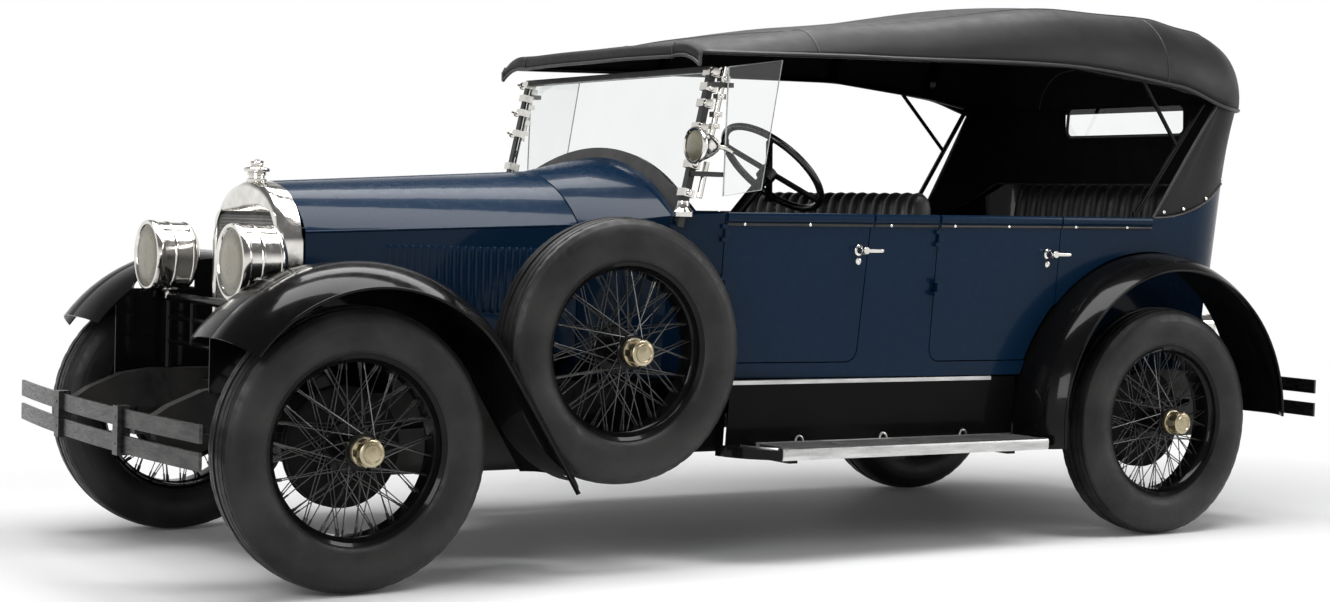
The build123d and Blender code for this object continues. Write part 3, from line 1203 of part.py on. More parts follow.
with BuildPart() as rear_seat:
    with BuildSketch(Plane.XZ.offset(-600)):
        with BuildLine():
            back_x = REAR_SEAT_X - 250 - SEAT_GAP
            Polyline((back_x, 1100), (back_x - 50, 1330), (back_x - 300, 1330), (back_x - 300, 1100),
                     close=True)
        make_face()
    extrude(amount=1200)
    with BuildSketch(Plane.XZ.offset(-510)):
        with BuildLine():
            Polyline((back_x, REAR_CUSHION_Z + 20), (back_x, 1110), (back_x - 300, 1110),
                     (back_x - 300, REAR_CUSHION_Z + 20), close=True)
        make_face()
    extrude(amount=1020)
    add(tub_solid(SILL_Z + FLOOR_THICKNESS, TUB_TOP_Z, WALL + SEAT_GAP, TUB_FRONT_X), mode=Mode.INTERSECT)
    with Locations((REAR_SEAT_X + 10, 0, REAR_CUSHION_Z)):
        Box(520, 1020, CUSHION_HEIGHT, align=(Align.CENTER, Align.CENTER, Align.MIN))
keep("rear_seat", rear_seat.part)

# Steering
STEER_WHEEL_X = aft(1792)
STEER_WHEEL_Y = 360.0
STEER_WHEEL_Z = 1340.0
STEER_WHEEL_RADIUS = 208.0
STEER_RIM_RADIUS = 13.0
COLUMN_RADIUS = 21.0
COLUMN_TOP_GAP = 0.3
steer_axis = Vector(-0.674, 0, 0.739)
steer_plane = Plane(origin=(STEER_WHEEL_X, STEER_WHEEL_Y, STEER_WHEEL_Z), x_dir=(0, 1, 0), z_dir=steer_axis)
with BuildPart() as steering_wheel:
    with Locations(steer_plane):
        Torus(STEER_WHEEL_RADIUS, STEER_RIM_RADIUS)
        with Locations((0, 0, -35)):
            Cylinder(34, 40)
        for turn in (45, 135, 225, 315):
            with Locations(Location((0, 0, -20), (0, 0, turn))):
                Box(STEER_WHEEL_RADIUS, 22, 12, align=(Align.MIN, Align.CENTER, Align.CENTER))
            with Locations(Location((0, 0, 0), (0, 0, turn))):
                with Locations((STEER_WHEEL_RADIUS - 8, 0, -10)):
                    Box(14, 20, 28)
keep("steering_wheel", steering_wheel.part)

with BuildPart() as steering_column:
    with Locations(steer_plane.offset(-55 - COLUMN_TOP_GAP)):
        Cylinder(COLUMN_RADIUS, 1100, align=(Align.CENTER, Align.CENTER, Align.MAX))
    with Locations((0, 0, SILL_Z + 0.8 * COWL_WALL + SEAT_GAP)):
        Box(3000, 2000, 900, align=(Align.CENTER, Align.CENTER, Align.MAX), mode=Mode.SUBTRACT)
keep("steering_column", steering_column.part)

# Bumpers
BUMPER_HALF = 842.0
BUMPER_BAR = 54.0
BUMPER_SKIN = 10.0
BUMPER_CLAMP_Y = 285.0


def bumper(face_x, outward, low_z, gap, bow, arm_x, arm_z):
    """Two flat bowed bars, joined by clamps and carried on arms from the frame ends."""
    with BuildPart() as both:
        for z in (low_z, low_z + BUMPER_BAR + gap):
            with BuildSketch(Plane.XY.offset(z)):
                with BuildLine():
                    front = face_x - outward * 8
                    back = front - outward * BUMPER_SKIN
                    front_end = front - outward * bow
                    back_end = back - outward * bow
                    ThreePointArc((front_end, -BUMPER_HALF), (front, 0), (front_end, BUMPER_HALF))
                    ThreePointArc((back_end, -BUMPER_HALF), (back, 0), (back_end, BUMPER_HALF))
                    for sign in (1, -1):
                        Line((front_end, sign * BUMPER_HALF), (back_end, sign * BUMPER_HALF))
                make_face()
            extrude(amount=BUMPER_BAR)
        middle_z = low_z + BUMPER_BAR + gap / 2
        for sign in (1, -1):
            with Locations((face_x - outward * 20, sign * BUMPER_CLAMP_Y, middle_z)):
                Box(40, 44, 2 * BUMPER_BAR + gap + 16)
            with Locations(((arm_x + face_x - outward * 24) / 2, sign * SPRING_Y, arm_z)):
                Box(abs(face_x - outward * 24 - arm_x), 40, 44)
    return both.part


FRONT_BUMPER_Z = 394.0
REAR_BUMPER_Z = 434.0
keep("front_bumper", bumper(LENGTH / 2, 1, FRONT_BUMPER_Z, 26, 45, FRONT_X + HORN_REACH + SEAT_GAP, 480))
keep("rear_bumper", bumper(-LENGTH / 2, -1, REAR_BUMPER_Z, 38, 45, REAR_X - REAR_RAIL_REACH - SEAT_GAP, 528))

# Tail lamp on a plate bracket with two bolt holes
PLATE_X = -LENGTH / 2 + 118
PLATE_Y = 300.0
PLATE_Z = 690.0
PLATE_BOLT_SPACING = 178.0
PLATE_BOLT_RADIUS = 4.0
with BuildPart() as tail_lamp:
    with Locations((PLATE_X, PLATE_Y, 516)):
        Box(8, 30, 260, align=(Align.MIN, Align.CENTER, Align.MIN))
        Box(aft(4050) - SEAT_GAP - PLATE_X, 30, 30, align=(Align.MIN, Align.CENTER, Align.MIN))
    with Locations((PLATE_X, PLATE_Y, PLATE_Z)):
        Box(8, PLATE_BOLT_SPACING + 50, 44, align=(Align.MIN, Align.CENTER, Align.CENTER))
    with Locations((PLATE_X + 12, PLATE_Y, 770)):
        Cylinder(42, 66, rotation=(0, 90, 0), align=(Align.CENTER, Align.CENTER, Align.CENTER))
    for side in (1, -1):
        with Locations((PLATE_X + 4, PLATE_Y + side * PLATE_BOLT_SPACING / 2, PLATE_Z)):
            Cylinder(PLATE_BOLT_RADIUS, 40, rotation=(0, 90, 0), mode=Mode.SUBTRACT)
keep("tail_lamp", tail_lamp.part)

# Wheels and tyres on the four corners, and the two spares
tyre = build_tyre()
bare_wheel = build_wheel()
road_wheel = add_drum(bare_wheel)
for end, axle_x in (("front", FRONT_X), ("rear", REAR_X)):
    corner = Location((axle_x, WHEEL_Y, HUB_Z))
    keep("tyre_" + end + "_left", tyre.moved(corner))
    keep("wheel_" + end + "_left", road_wheel.moved(corner))
    keep("tyre_" + end + "_right", mirrored(tyre.moved(corner)))
    keep("wheel_" + end + "_right", mirrored(road_wheel.moved(corner)))

spare = Location((SPARE_X, SPARE_Y, SPARE_Z))
with BuildPart() as spare_tyres:
    add(tyre.moved(spare))
    mirror(about=Plane.XZ)
keep("spare_tyres", spare_tyres.part)

with BuildPart() as spare_wheels:
    add(bare_wheel.moved(spare))
    mirror(about=Plane.XZ)
keep("spare_wheels", spare_wheels.part)

with BuildPart() as spare_carriers:
    stub_y = SPARE_Y + DRUM_FACE_Y - 14 - 24
    with BuildSketch(Plane.YZ.offset(SPARE_X - 22)):
        with BuildLine():
            Polyline((RAIL_OUTER_Y + SEAT_GAP, 590), (RAIL_OUTER_Y + SEAT_GAP, 510), (stub_y, SPARE_Z - 34),
                     (stub_y, SPARE_Z + 30), (stub_y - 20, SPARE_Z + 30), close=True)
        make_face()
    extrude(amount=44)
    with Locations((SPARE_X, stub_y - 6, SPARE_Z)):
        Cylinder(SPINDLE_RADIUS, 140, rotation=(-90, 0, 0), align=(Align.CENTER, Align.CENTER, Align.MIN))
    mirror(about=Plane.XZ)
keep("spare_carriers", spare_carriers.part)

os.makedirs("parts", exist_ok=True)
for name, part in PIECES.items():
    export_step(part, "parts/" + name + ".step")
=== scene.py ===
"""Looks of the touring car: finishes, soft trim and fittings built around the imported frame.

Metres. +X is forward, +Y is the car's left, +Z is up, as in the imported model.
"""

import math

import bmesh
import bpy
from mathutils import Matrix, Vector, noise


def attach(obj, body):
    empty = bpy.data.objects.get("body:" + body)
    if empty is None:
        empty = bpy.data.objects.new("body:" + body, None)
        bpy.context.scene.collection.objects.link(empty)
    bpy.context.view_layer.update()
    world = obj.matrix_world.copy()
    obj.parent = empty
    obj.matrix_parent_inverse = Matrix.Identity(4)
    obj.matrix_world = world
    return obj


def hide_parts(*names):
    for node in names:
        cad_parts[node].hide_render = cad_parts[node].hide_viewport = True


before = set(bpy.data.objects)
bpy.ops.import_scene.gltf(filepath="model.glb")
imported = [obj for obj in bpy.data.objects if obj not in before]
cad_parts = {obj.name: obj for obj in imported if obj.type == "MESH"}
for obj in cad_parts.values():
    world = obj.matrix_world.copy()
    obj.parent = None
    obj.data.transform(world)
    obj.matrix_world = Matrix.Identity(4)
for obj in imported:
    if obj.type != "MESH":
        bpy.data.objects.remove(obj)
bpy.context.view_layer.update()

# Places shared with the frame
FRONT_X = 1.8115
REAR_X = -1.5415
WHEEL_Y = 0.7365
HUB_Z = 0.432
SPARE = Vector((0.8705, 0.725, 0.718))
SIDES = (("left", 1), ("right", -1))


def aft(distance):
    """The station that lies a distance behind the front axle."""
    return FRONT_X - distance


# Finishes
def add_node(tree, kind, inputs=(), **settings):
    """Adds a shader node; each input takes a value, or a link from a socket."""
    made = tree.nodes.new(kind)
    for key, value in settings.items():
        setattr(made, key, value)
    for key, value in dict(inputs).items():
        if isinstance(value, bpy.types.NodeSocket):
            tree.links.new(value, made.inputs[key])
        else:
            made.inputs[key].default_value = value
    return made


class Finish:
    """A procedural material: a principled shader with its own noise, masks and bump."""

    def __init__(self, name, **values):
        self.material = bpy.data.materials.new(name)
        self.material.use_nodes = True
        self.tree = self.material.node_tree
        self.bsdf = self.tree.nodes["Principled BSDF"]
        self.coords = self.tree.nodes.new("ShaderNodeTexCoord")
        self.normal = None
        for socket, value in values.items():
            self.bsdf.inputs[socket.replace("_", " ")].default_value = value

    def node(self, kind, inputs=(), **settings):
        return add_node(self.tree, kind, inputs, **settings)

    def place(self, stretch=(1, 1, 1)):
        """Object coordinates, stretched along the axes."""
        inputs = {"Vector": self.coords.outputs["Object"], "Scale": stretch}
        return self.node("ShaderNodeMapping", inputs).outputs["Vector"]

    def noise(self, scale, stretch=(1, 1, 1), detail=4.0):
        inputs = {"Vector": self.place(stretch), "Scale": scale, "Detail": detail}
        return self.node("ShaderNodeTexNoise", inputs).outputs["Fac"]

    def cells(self, scale, stretch=(1, 1, 1)):
        inputs = {"Vector": self.place(stretch), "Scale": scale}
        return self.node("ShaderNodeTexVoronoi", inputs).outputs["Distance"]

    def axis(self, name, source="Object"):
        split = self.node("ShaderNodeSeparateXYZ", {"Vector": self.coords.outputs[source]})
        return split.outputs[name]

    def length(self, stretch):
        """Distance from the object's origin, with the axes stretched."""
        inputs = {0: self.place(stretch)}
        return self.node("ShaderNodeVectorMath", inputs, operation="LENGTH").outputs["Value"]

    def math(self, operation, a, b=0.0):
        return self.node("ShaderNodeMath", {0: a, 1: b}, operation=operation).outputs[0]

    def span(self, value, low, high, out_low=0.0, out_high=1.0):
        inputs = {"Value": value, "From Min": low, "From Max": high,
                  "To Min": out_low, "To Max": out_high}
        return self.node("ShaderNodeMapRange", inputs).outputs["Result"]

    def mix(self, share, first, second):
        mixer = self.node("ShaderNodeMix", {"Factor": share}, data_type="RGBA")
        for socket, value in ((mixer.inputs[6], first), (mixer.inputs[7], second)):
            if isinstance(value, bpy.types.NodeSocket):
                self.tree.links.new(value, socket)
            else:
                socket.default_value = (*value, 1)
        return mixer.outputs[2]

    def feed(self, socket, value):
        self.tree.links.new(value, self.bsdf.inputs[socket])

    def bump(self, height, strength, distance):
        """Adds a layer of bump over those already there."""
        inputs = {"Height": height, "Strength": strength, "Distance": distance}
        if self.normal:
            inputs["Normal"] = self.normal
        self.normal = self.node("ShaderNodeBump", inputs).outputs["Normal"]
        self.feed("Normal", self.normal)


def paint(name, deep, light, rough, coat, lined=False):
    """Gloss coach enamel; a lined panel is dark leathercloth on the faces that look inboard."""
    f = Finish(name, Coat_Weight=coat, Coat_Roughness=0.06, Specular_IOR_Level=0.04)
    shade = f.mix(f.noise(2.5), deep, light)
    dust = f.math("MULTIPLY", f.span(f.axis("Z"), 0.6, 0.3), f.span(f.noise(9, detail=6), 0.4, 0.8))
    shade = f.mix(f.math("MULTIPLY", dust, 0.05), shade, (0.08, 0.074, 0.064))
    if lined:
        outward = f.math("MULTIPLY", f.axis("Y", "Normal"), f.math("SIGN", f.axis("Y")))
        inboard = f.math("LESS_THAN", outward, -0.25)
        floor = f.math("MULTIPLY", f.math("GREATER_THAN", f.axis("Z", "Normal"), 0.6),
                       f.math("LESS_THAN", f.axis("Z"), 1.0))
        ahead = f.math("MULTIPLY", f.math("GREATER_THAN", f.axis("X", "Normal"), 0.2),
                       f.math("LESS_THAN", f.axis("X"), -1.2))
        trim = f.math("MAXIMUM", f.math("MAXIMUM", inboard, floor), ahead)
        shade = f.mix(trim, shade, (0.004, 0.004, 0.0045))
    f.feed("Base Color", shade)
    f.feed("Roughness", f.span(f.noise(30), 0.3, 0.7, *rough))
    f.bump(f.noise(260, detail=2), 0.015, 0.0003)
    return f.material


def plated(name, deep, light, rough, streak=(1, 1, 1)):
    """Plated or bare bright metal with cloudy tarnish and fine rub marks."""
    f = Finish(name, Metallic=1.0)
    f.feed("Base Color", f.mix(f.span(f.noise(14, streak, 6), 0.35, 0.65), deep, light))
    f.feed("Roughness", f.span(f.noise(45, streak, 8), 0.3, 0.7, *rough))
    f.bump(f.noise(60, streak), 0.03, 0.001)
    return f.material


def satin(name, deep, light, rough, grain=400, depth=0.0004, metallic=0.0, shine=0.5):
    """Dull painted, cast or moulded surface with a fine grain."""
    f = Finish(name, Metallic=metallic, Specular_IOR_Level=shine)
    f.feed("Base Color", f.mix(f.span(f.noise(7, detail=8), 0.35, 0.68), deep, light))
    f.feed("Roughness", f.span(f.noise(25), 0.3, 0.7, *rough))
    f.bump(f.noise(grain), 0.25, depth)
    return f.material


def hide(name, deep, light, rough, grain, depth, sheen, shine=0.5):
    """Leather or coated cloth: pebbled grain, soft creases and a worn sheen."""
    f = Finish(name, Sheen_Weight=sheen, Sheen_Roughness=0.45, Specular_IOR_Level=shine)
    f.feed("Base Color", f.mix(f.span(f.noise(5, detail=8), 0.3, 0.7), deep, light))
    f.feed("Roughness", f.span(f.noise(18, detail=6), 0.3, 0.7, *rough))
    f.bump(f.cells(grain), 0.35, depth)
    f.bump(f.noise(12, (1, 1, 2.5), 6), 0.18, 0.004)
    return f.material


def glass(name, tint):
    """Clear sheet glass, faintly uneven in its tint."""
    f = Finish(name, Transmission_Weight=1.0, IOR=1.45, Roughness=0.0)
    f.feed("Base Color", f.mix(f.noise(3), tint, (0.97, 0.985, 0.98)))
    return f.material


def lens(name):
    """Cream frosted lamp glass, darker towards its rim."""
    f = Finish(name, Coat_Weight=0.4, Coat_Roughness=0.1, Subsurface_Weight=0.15)
    shade = f.mix(f.span(f.length((1, 1, 0)), 0.062, 0.084), (0.30, 0.284, 0.215), (0.12, 0.112, 0.066))
    f.feed("Base Color", f.mix(f.math("MULTIPLY", f.noise(20), 0.4), shade, (0.32, 0.30, 0.23)))
    f.feed("Roughness", f.span(f.noise(60), 0.3, 0.7, 0.25, 0.4))
    f.bump(f.noise(500), 0.2, 0.0004)
    return f.material


def rubber(name):
    """Tyre rubber with grey dust in clouds."""
    f = Finish(name, Specular_IOR_Level=0.3)
    dust = f.math("MULTIPLY", f.span(f.noise(6, detail=10), 0.36, 0.68), 0.8)
    f.feed("Base Color", f.mix(dust, (0.004, 0.004, 0.0042), (0.026, 0.0255, 0.0246)))
    f.feed("Roughness", f.span(f.noise(40), 0.3, 0.7, 0.36, 0.56))
    f.bump(f.noise(320, detail=6), 0.3, 0.0006)
    return f.material


BLUE = paint("body_blue", (0.0030, 0.0140, 0.0350), (0.0040, 0.0170, 0.0410), (0.2, 0.3), 0.18, lined=True)
BLACK = paint("fender_black", (0.0028, 0.0028, 0.003), (0.0045, 0.0045, 0.0048), (0.14, 0.26), 0.22)
APRON = paint("apron_black", (0.0026, 0.0026, 0.0028), (0.004, 0.004, 0.0042), (0.3, 0.45), 0.06)
SCREEN = satin("screen_black", (0.008, 0.008, 0.008), (0.02, 0.02, 0.0195), (0.3, 0.5), 300, 0.0003)
WELT = hide("welt_black", (0.006, 0.006, 0.006), (0.013, 0.013, 0.013), (0.35, 0.5), 900, 0.0003, 0.1)
CHASSIS = satin("chassis_satin", (0.009, 0.009, 0.009), (0.022, 0.0205, 0.018), (0.4, 0.62), shine=0.3)
SPOKE = satin("spoke_enamel", (0.02, 0.02, 0.02), (0.07, 0.069, 0.066), (0.2, 0.34), 300, 0.0001, 0.4, 0.6)
DRUM = satin("drum_black", (0.003, 0.003, 0.003), (0.007, 0.0068, 0.0064), (0.6, 0.8), shine=0.15)
IRON = satin("engine_cast", (0.06, 0.062, 0.06), (0.12, 0.12, 0.115), (0.5, 0.75), 220, 0.001)
NICKEL = plated("bright_nickel", (0.66, 0.64, 0.6), (0.82, 0.8, 0.76), (0.07, 0.2))
STEEL = plated("worn_bar", (0.038, 0.038, 0.0375), (0.080, 0.0795, 0.0775), (0.24, 0.42), (4, 0.7, 4))
BRASS = plated("cap_brass", (0.34, 0.29, 0.185), (0.52, 0.46, 0.33), (0.24, 0.42))
ALUMINIUM = plated("board_trim", (0.44, 0.44, 0.435), (0.6, 0.6, 0.59), (0.26, 0.42), (0.6, 5, 5))
# The radiator core is painted near black as painted shade of the deep honeycomb cells, which are built only a
# few millimetres deep.
CORE_SHADE = satin("core_painted_shade", (0.012, 0.012, 0.012), (0.03, 0.03, 0.029), (0.45, 0.7), 300, 0.0006, 0.5)
COMB = satin("core_comb", (0.20, 0.20, 0.195), (0.34, 0.335, 0.32), (0.35, 0.6), 300, 0.0004, 0.6)
CLEAR = glass("clear_pane", (0.86, 0.875, 0.87))
GROUND = satin("ground_edge", (0.42, 0.46, 0.45), (0.6, 0.63, 0.62), (0.3, 0.5), 500, 0.0002)
LENS = lens("lamp_lens")
RED = satin("tail_red", (0.22, 0.008, 0.006), (0.34, 0.014, 0.01), (0.12, 0.25), 200, 0.0002)
RUBBER = rubber("tyre_rubber_finish")
MAT = satin("board_rubber", (0.02, 0.02, 0.02), (0.05, 0.049, 0.047), (0.55, 0.8), 500, 0.0006)
CLOTH = hide("top_leathercloth", (0.0055, 0.0055, 0.0058), (0.0105, 0.0104, 0.0102), (0.36, 0.5),
             900, 0.0006, 0.04, 0.17)
LINING = hide("top_lining", (0.003, 0.003, 0.003), (0.006, 0.006, 0.006), (0.8, 0.95), 900, 0.0004, 0.0, 0.2)
LEATHER = hide("seat_leather", (0.006, 0.006, 0.0065), (0.015, 0.0145, 0.014), (0.26, 0.45),
               420, 0.0009, 0.1, 0.3)
EBONITE = satin("wheel_ebonite", (0.006, 0.006, 0.006), (0.012, 0.011, 0.011), (0.18, 0.34), 300, 0.0002)

NODE_FINISHES = {
    BLUE: ("body_tub", "cowl", "door_front_left", "door_front_right", "door_rear_left",
           "door_rear_right", "hood_top_left", "hood_top_right", "hood_side_left",
           "hood_side_right"),
    BLACK: ("front_fenders", "rear_fenders", "lamp_bar", "spare_carriers",
            "running_boards", "steering_column", "top_bows"),
    CHASSIS: ("chassis_frame", "leaf_springs", "front_axle", "rear_axle", "knuckle_left",
              "knuckle_right", "tie_rod", "exhaust", "fuel_tank"),
    IRON: ("engine",),
    NICKEL: ("tail_lamp",),
    SCREEN: ("windscreen_frame",),
    STEEL: ("front_bumper", "rear_bumper"),
    CORE_SHADE: ("radiator_core",),
    CLEAR: ("windscreen_glass", "wind_wings", "rear_window"),
    EBONITE: ("steering_wheel",),
    APRON: ("splash_aprons",),
}
for finish, names in NODE_FINISHES.items():
    for name in names:
        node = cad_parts[name]
        node.data.materials.clear()
        node.data.materials.append(finish)


# Points and places
def blend(a, b, share):
    return a + (b - a) * share


def mirrored(profile):
    """The other half of a profile of (radius, y), in order."""
    return [(r, -y) for r, y in reversed(profile)]


def arc3(a, b, c, count):
    """Points on the circle through three points in a plane, from a to c."""
    (ax, ay), (bx, by), (cx, cy) = a, b, c
    d = 2 * (ax * (by - cy) + bx * (cy - ay) + cx * (ay - by))
    sa, sb, sc = ax * ax + ay * ay, bx * bx + by * by, cx * cx + cy * cy
    ox = (sa * (by - cy) + sb * (cy - ay) + sc * (ay - by)) / d
    oy = (sa * (cx - bx) + sb * (ax - cx) + sc * (bx - ax)) / d
    radius = math.hypot(ax - ox, ay - oy)
    first, middle, last = (math.atan2(y - oy, x - ox) for x, y in (a, b, c))
    turn = (last - first) % math.tau
    if (middle - first) % math.tau > turn:
        turn -= math.tau
    return [(ox + radius * math.cos(first + turn * i / (count - 1)),
             oy + radius * math.sin(first + turn * i / (count - 1))) for i in range(count)]


def about(point, axis):
    """A frame at a point whose Z lies along the axis."""
    turn = Vector((0, 0, 1)).rotation_difference(Vector(axis).normalized()).to_matrix().to_4x4()
    return Matrix.Translation(Vector(point)) @ turn


# Mesh building
class Shape:
    """Points and faces of one piece, gathered from simple forms, each with a finish number."""

    def __init__(self):
        self.points = []
        self.faces = []
        self.marks = []

    def grid(self, rows, mark=0, ring=False, loop=False):
        """Quads between rows of points; ring closes each row, loop joins the last to the first."""
        start = len(self.points)
        width = len(rows[0])
        for row in rows:
            self.points.extend(Vector(p) for p in row)
        for i in range(len(rows) if loop else len(rows) - 1):
            for j in range(width if ring else width - 1):
                a = start + i * width
                b = start + (i + 1) % len(rows) * width
                k = (j + 1) % width
                self.faces.append((a + j, a + k, b + k, b + j))
                self.marks.append(mark)

    def cap(self, ring, mark=0):
        start = len(self.points)
        self.points.extend(Vector(p) for p in ring)
        self.faces.append(tuple(range(start, start + len(ring))))
        self.marks.append(mark)

    def bar(self, rows, mark=0):
        """A closed form through rings of points, with flat ends."""
        self.grid(rows, mark, ring=True)
        self.cap(rows[0][::-1], mark)
        self.cap(rows[-1], mark)

    def lathe(self, profile, matrix=Matrix(), steps=48, mark=0):
        """Profile of (radius, height) turned about the matrix's Z axis."""
        turns = [math.tau * i / steps for i in range(steps)]
        rows = []
        for radius, height in profile:
            rows.append([matrix @ Vector((radius * math.cos(t), radius * math.sin(t), height))
                         for t in turns])
        self.grid(rows, mark, ring=True)

    def tube(self, path, radius, sides=8, mark=0, closed=False):
        """A round bar along a path."""
        path = [Vector(p) for p in path]
        rows = []
        side = None
        for i, point in enumerate(path):
            before = path[i - 1] if i or closed else point
            after = path[(i + 1) % len(path)] if i + 1 < len(path) or closed else point
            along = (after - before).normalized()
            guide = side if side else Vector((0.13, 0.21, 1.0))
            side = (guide - along * guide.dot(along)).normalized()
            across = along.cross(side)
            rows.append([point + radius * (math.cos(math.tau * k / sides) * side
                                           + math.sin(math.tau * k / sides) * across)
                         for k in range(sides)])
        if closed:
            self.grid(rows, mark, ring=True, loop=True)
        else:
            self.bar(rows, mark)

    def block(self, centre, size, matrix=Matrix(), mark=0):
        """A box about a centre, turned by the matrix."""
        x, y, z = (s / 2 for s in size)
        corners = [(-x, -y), (x, -y), (x, y), (-x, y)]
        self.bar([[Vector(centre) + matrix @ Vector((a, b, c)) for a, b in corners] for c in (-z, z)], mark)

    def dome(self, centre, toward, radius, mark=0, steps=12):
        """A round-headed stud."""
        head = [(radius * math.cos(a), radius * 0.7 * math.sin(a))
                for a in (0, 0.4, 0.8, 1.2, math.pi / 2)]
        self.lathe(head, about(centre, toward), steps, mark)


def make_mesh(name, shape, finishes, crease=40):
    """Welded, outward-facing, smooth-shaded mesh of a shape."""
    mesh = bpy.data.meshes.new(name)
    mesh.from_pydata(shape.points, [], shape.faces)
    for finish in finishes:
        mesh.materials.append(finish)
    mesh.polygons.foreach_set("material_index", shape.marks)
    work = bmesh.new()
    work.from_mesh(mesh)
    bmesh.ops.remove_doubles(work, verts=work.verts, dist=0.00002)
    bmesh.ops.dissolve_degenerate(work, edges=work.edges, dist=0.00001)
    bmesh.ops.recalc_face_normals(work, faces=work.faces)
    work.to_mesh(mesh)
    work.free()
    mesh.polygons.foreach_set("use_smooth", [True] * len(mesh.polygons))
    mesh.set_sharp_from_angle(angle=math.radians(crease))
    return mesh


def add_object(name, data):
    made = bpy.data.objects.new(name, data)
    bpy.context.scene.collection.objects.link(made)
    return made


def put(name, mesh, body, stands_for=(), matrix=Matrix()):
    """Puts a mesh in the scene as a piece of a body."""
    piece = add_object(name, mesh)
    piece.matrix_world = matrix
    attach(piece, body)
    if stands_for:
        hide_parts(*stands_for)
    return piece


def build(name, shape, finishes, body="car", stands_for=(), crease=40):
    return put(name, make_mesh(name, shape, finishes, crease), body, stands_for)


# Tyres: ribbed tread and side walls, turned about the wheel's Y axis
TYRE_RADIUS = 0.432
TREAD_HALF = 0.062
TREAD_CROWN = 0.008
GROOVE = 0.006
# Tread ribs of one half: inner y, outer y
TREAD_RIBS = ((0.050, 0.062), (0.030, 0.046), (0.009, 0.026))
WALL_RIBS = (0.302, 0.375, 0.386, 0.397, 0.408)
TYRE_STEPS = 180
TURN_TO_Y = Matrix.Rotation(-math.pi / 2, 4, "X")


def tyre_mesh():
    half = [(0.2805, 0.0575)]
    for r, y in arc3((0.2825, 0.0575), (0.352, 0.0888), (0.4215, 0.064), 26):
        on_rib = any(abs(r - rib) < 0.0022 for rib in WALL_RIBS)
        half.append((r, y + (0.0015 if on_rib else 0.0)))
    for low, high in TREAD_RIBS:
        for y, drop in ((high, 0.0), (low, 0.0), (low - 0.001, GROOVE), (low - 0.003, GROOVE)):
            half.append((TYRE_RADIUS - TREAD_CROWN * (y / TREAD_HALF) ** 2 - drop, y))
    rows = []
    for r, y in half + mirrored(half):
        row = []
        for i in range(TYRE_STEPS):
            notched = abs(y) > 0.046 and r > 0.412 and i % 4 == 0
            reach = r - 0.0015 if notched else r
            swing = math.tau * (i + (0.5 if y < 0 else 0)) / TYRE_STEPS
            row.append(TURN_TO_Y @ Vector((reach * math.cos(swing), reach * math.sin(swing), y)))
        rows.append(row)
    shape = Shape()
    shape.grid(rows, ring=True, loop=True)
    return make_mesh("tyre", shape, [RUBBER], 50)


# Wire wheels: rim, crossing spokes, hub shell, ringed cap and, on the road wheels, a drum
# Profiles: radius, y
RIM_OUTSIDE = [(0.2925, 0.066), (0.2945, 0.0645), (0.2945, 0.060), (0.2905, 0.0585), (0.281, 0.0565),
               (0.279, 0.040), (0.268, 0.030), (0.266, 0.0)]
RIM_INSIDE = [(0.2605, 0.0), (0.262, 0.032), (0.273, 0.043), (0.276, 0.058), (0.286, 0.066)]
HUB = [(0.021, -0.060), (0.046, -0.060), (0.046, -0.047), (0.076, -0.046), (0.079, -0.043),
       (0.079, -0.027), (0.076, -0.024), (0.047, -0.020), (0.043, 0.020), (0.042, 0.068), (0.055, 0.071),
       (0.057, 0.074), (0.057, 0.084), (0.054, 0.087), (0.040, 0.088)]
HUB_CAP = [(0.040, 0.088), (0.0455, 0.089), (0.0465, 0.092), (0.0465, 0.102), (0.0445, 0.105),
           (0.039, 0.107), (0.039, 0.142), (0.0405, 0.144), (0.0405, 0.149), (0.037, 0.153),
           (0.031, 0.1545), (0.0295, 0.1575), (0.0265, 0.1585), (0.0245, 0.156), (0.020, 0.1565),
           (0.010, 0.160), (0.0, 0.161)]
DRUM_CUP = [(0.046, -0.047), (0.150, -0.0465), (0.178, -0.048), (0.185, -0.053), (0.185, -0.060),
            (0.182, -0.062), (0.182, -0.080), (0.186, -0.082), (0.186, -0.090), (0.176, -0.090),
            (0.175, -0.054), (0.046, -0.054)]
# Spoke rows: count, hub radius, hub y, rim y, lean in degrees
SPOKE_ROWS = ((28, 0.050, 0.079, 0.016, 48), (28, 0.072, -0.030, -0.008, 38), (28, 0.072, -0.036, -0.024, 62))
SPOKE_END = 0.2625
SPOKE_RADIUS = 0.0019
NIPPLE_RADIUS = 0.0034
CAP_LUGS = 6
DRUM_STUDS = 10
DRUM_STUD_RING = 0.105


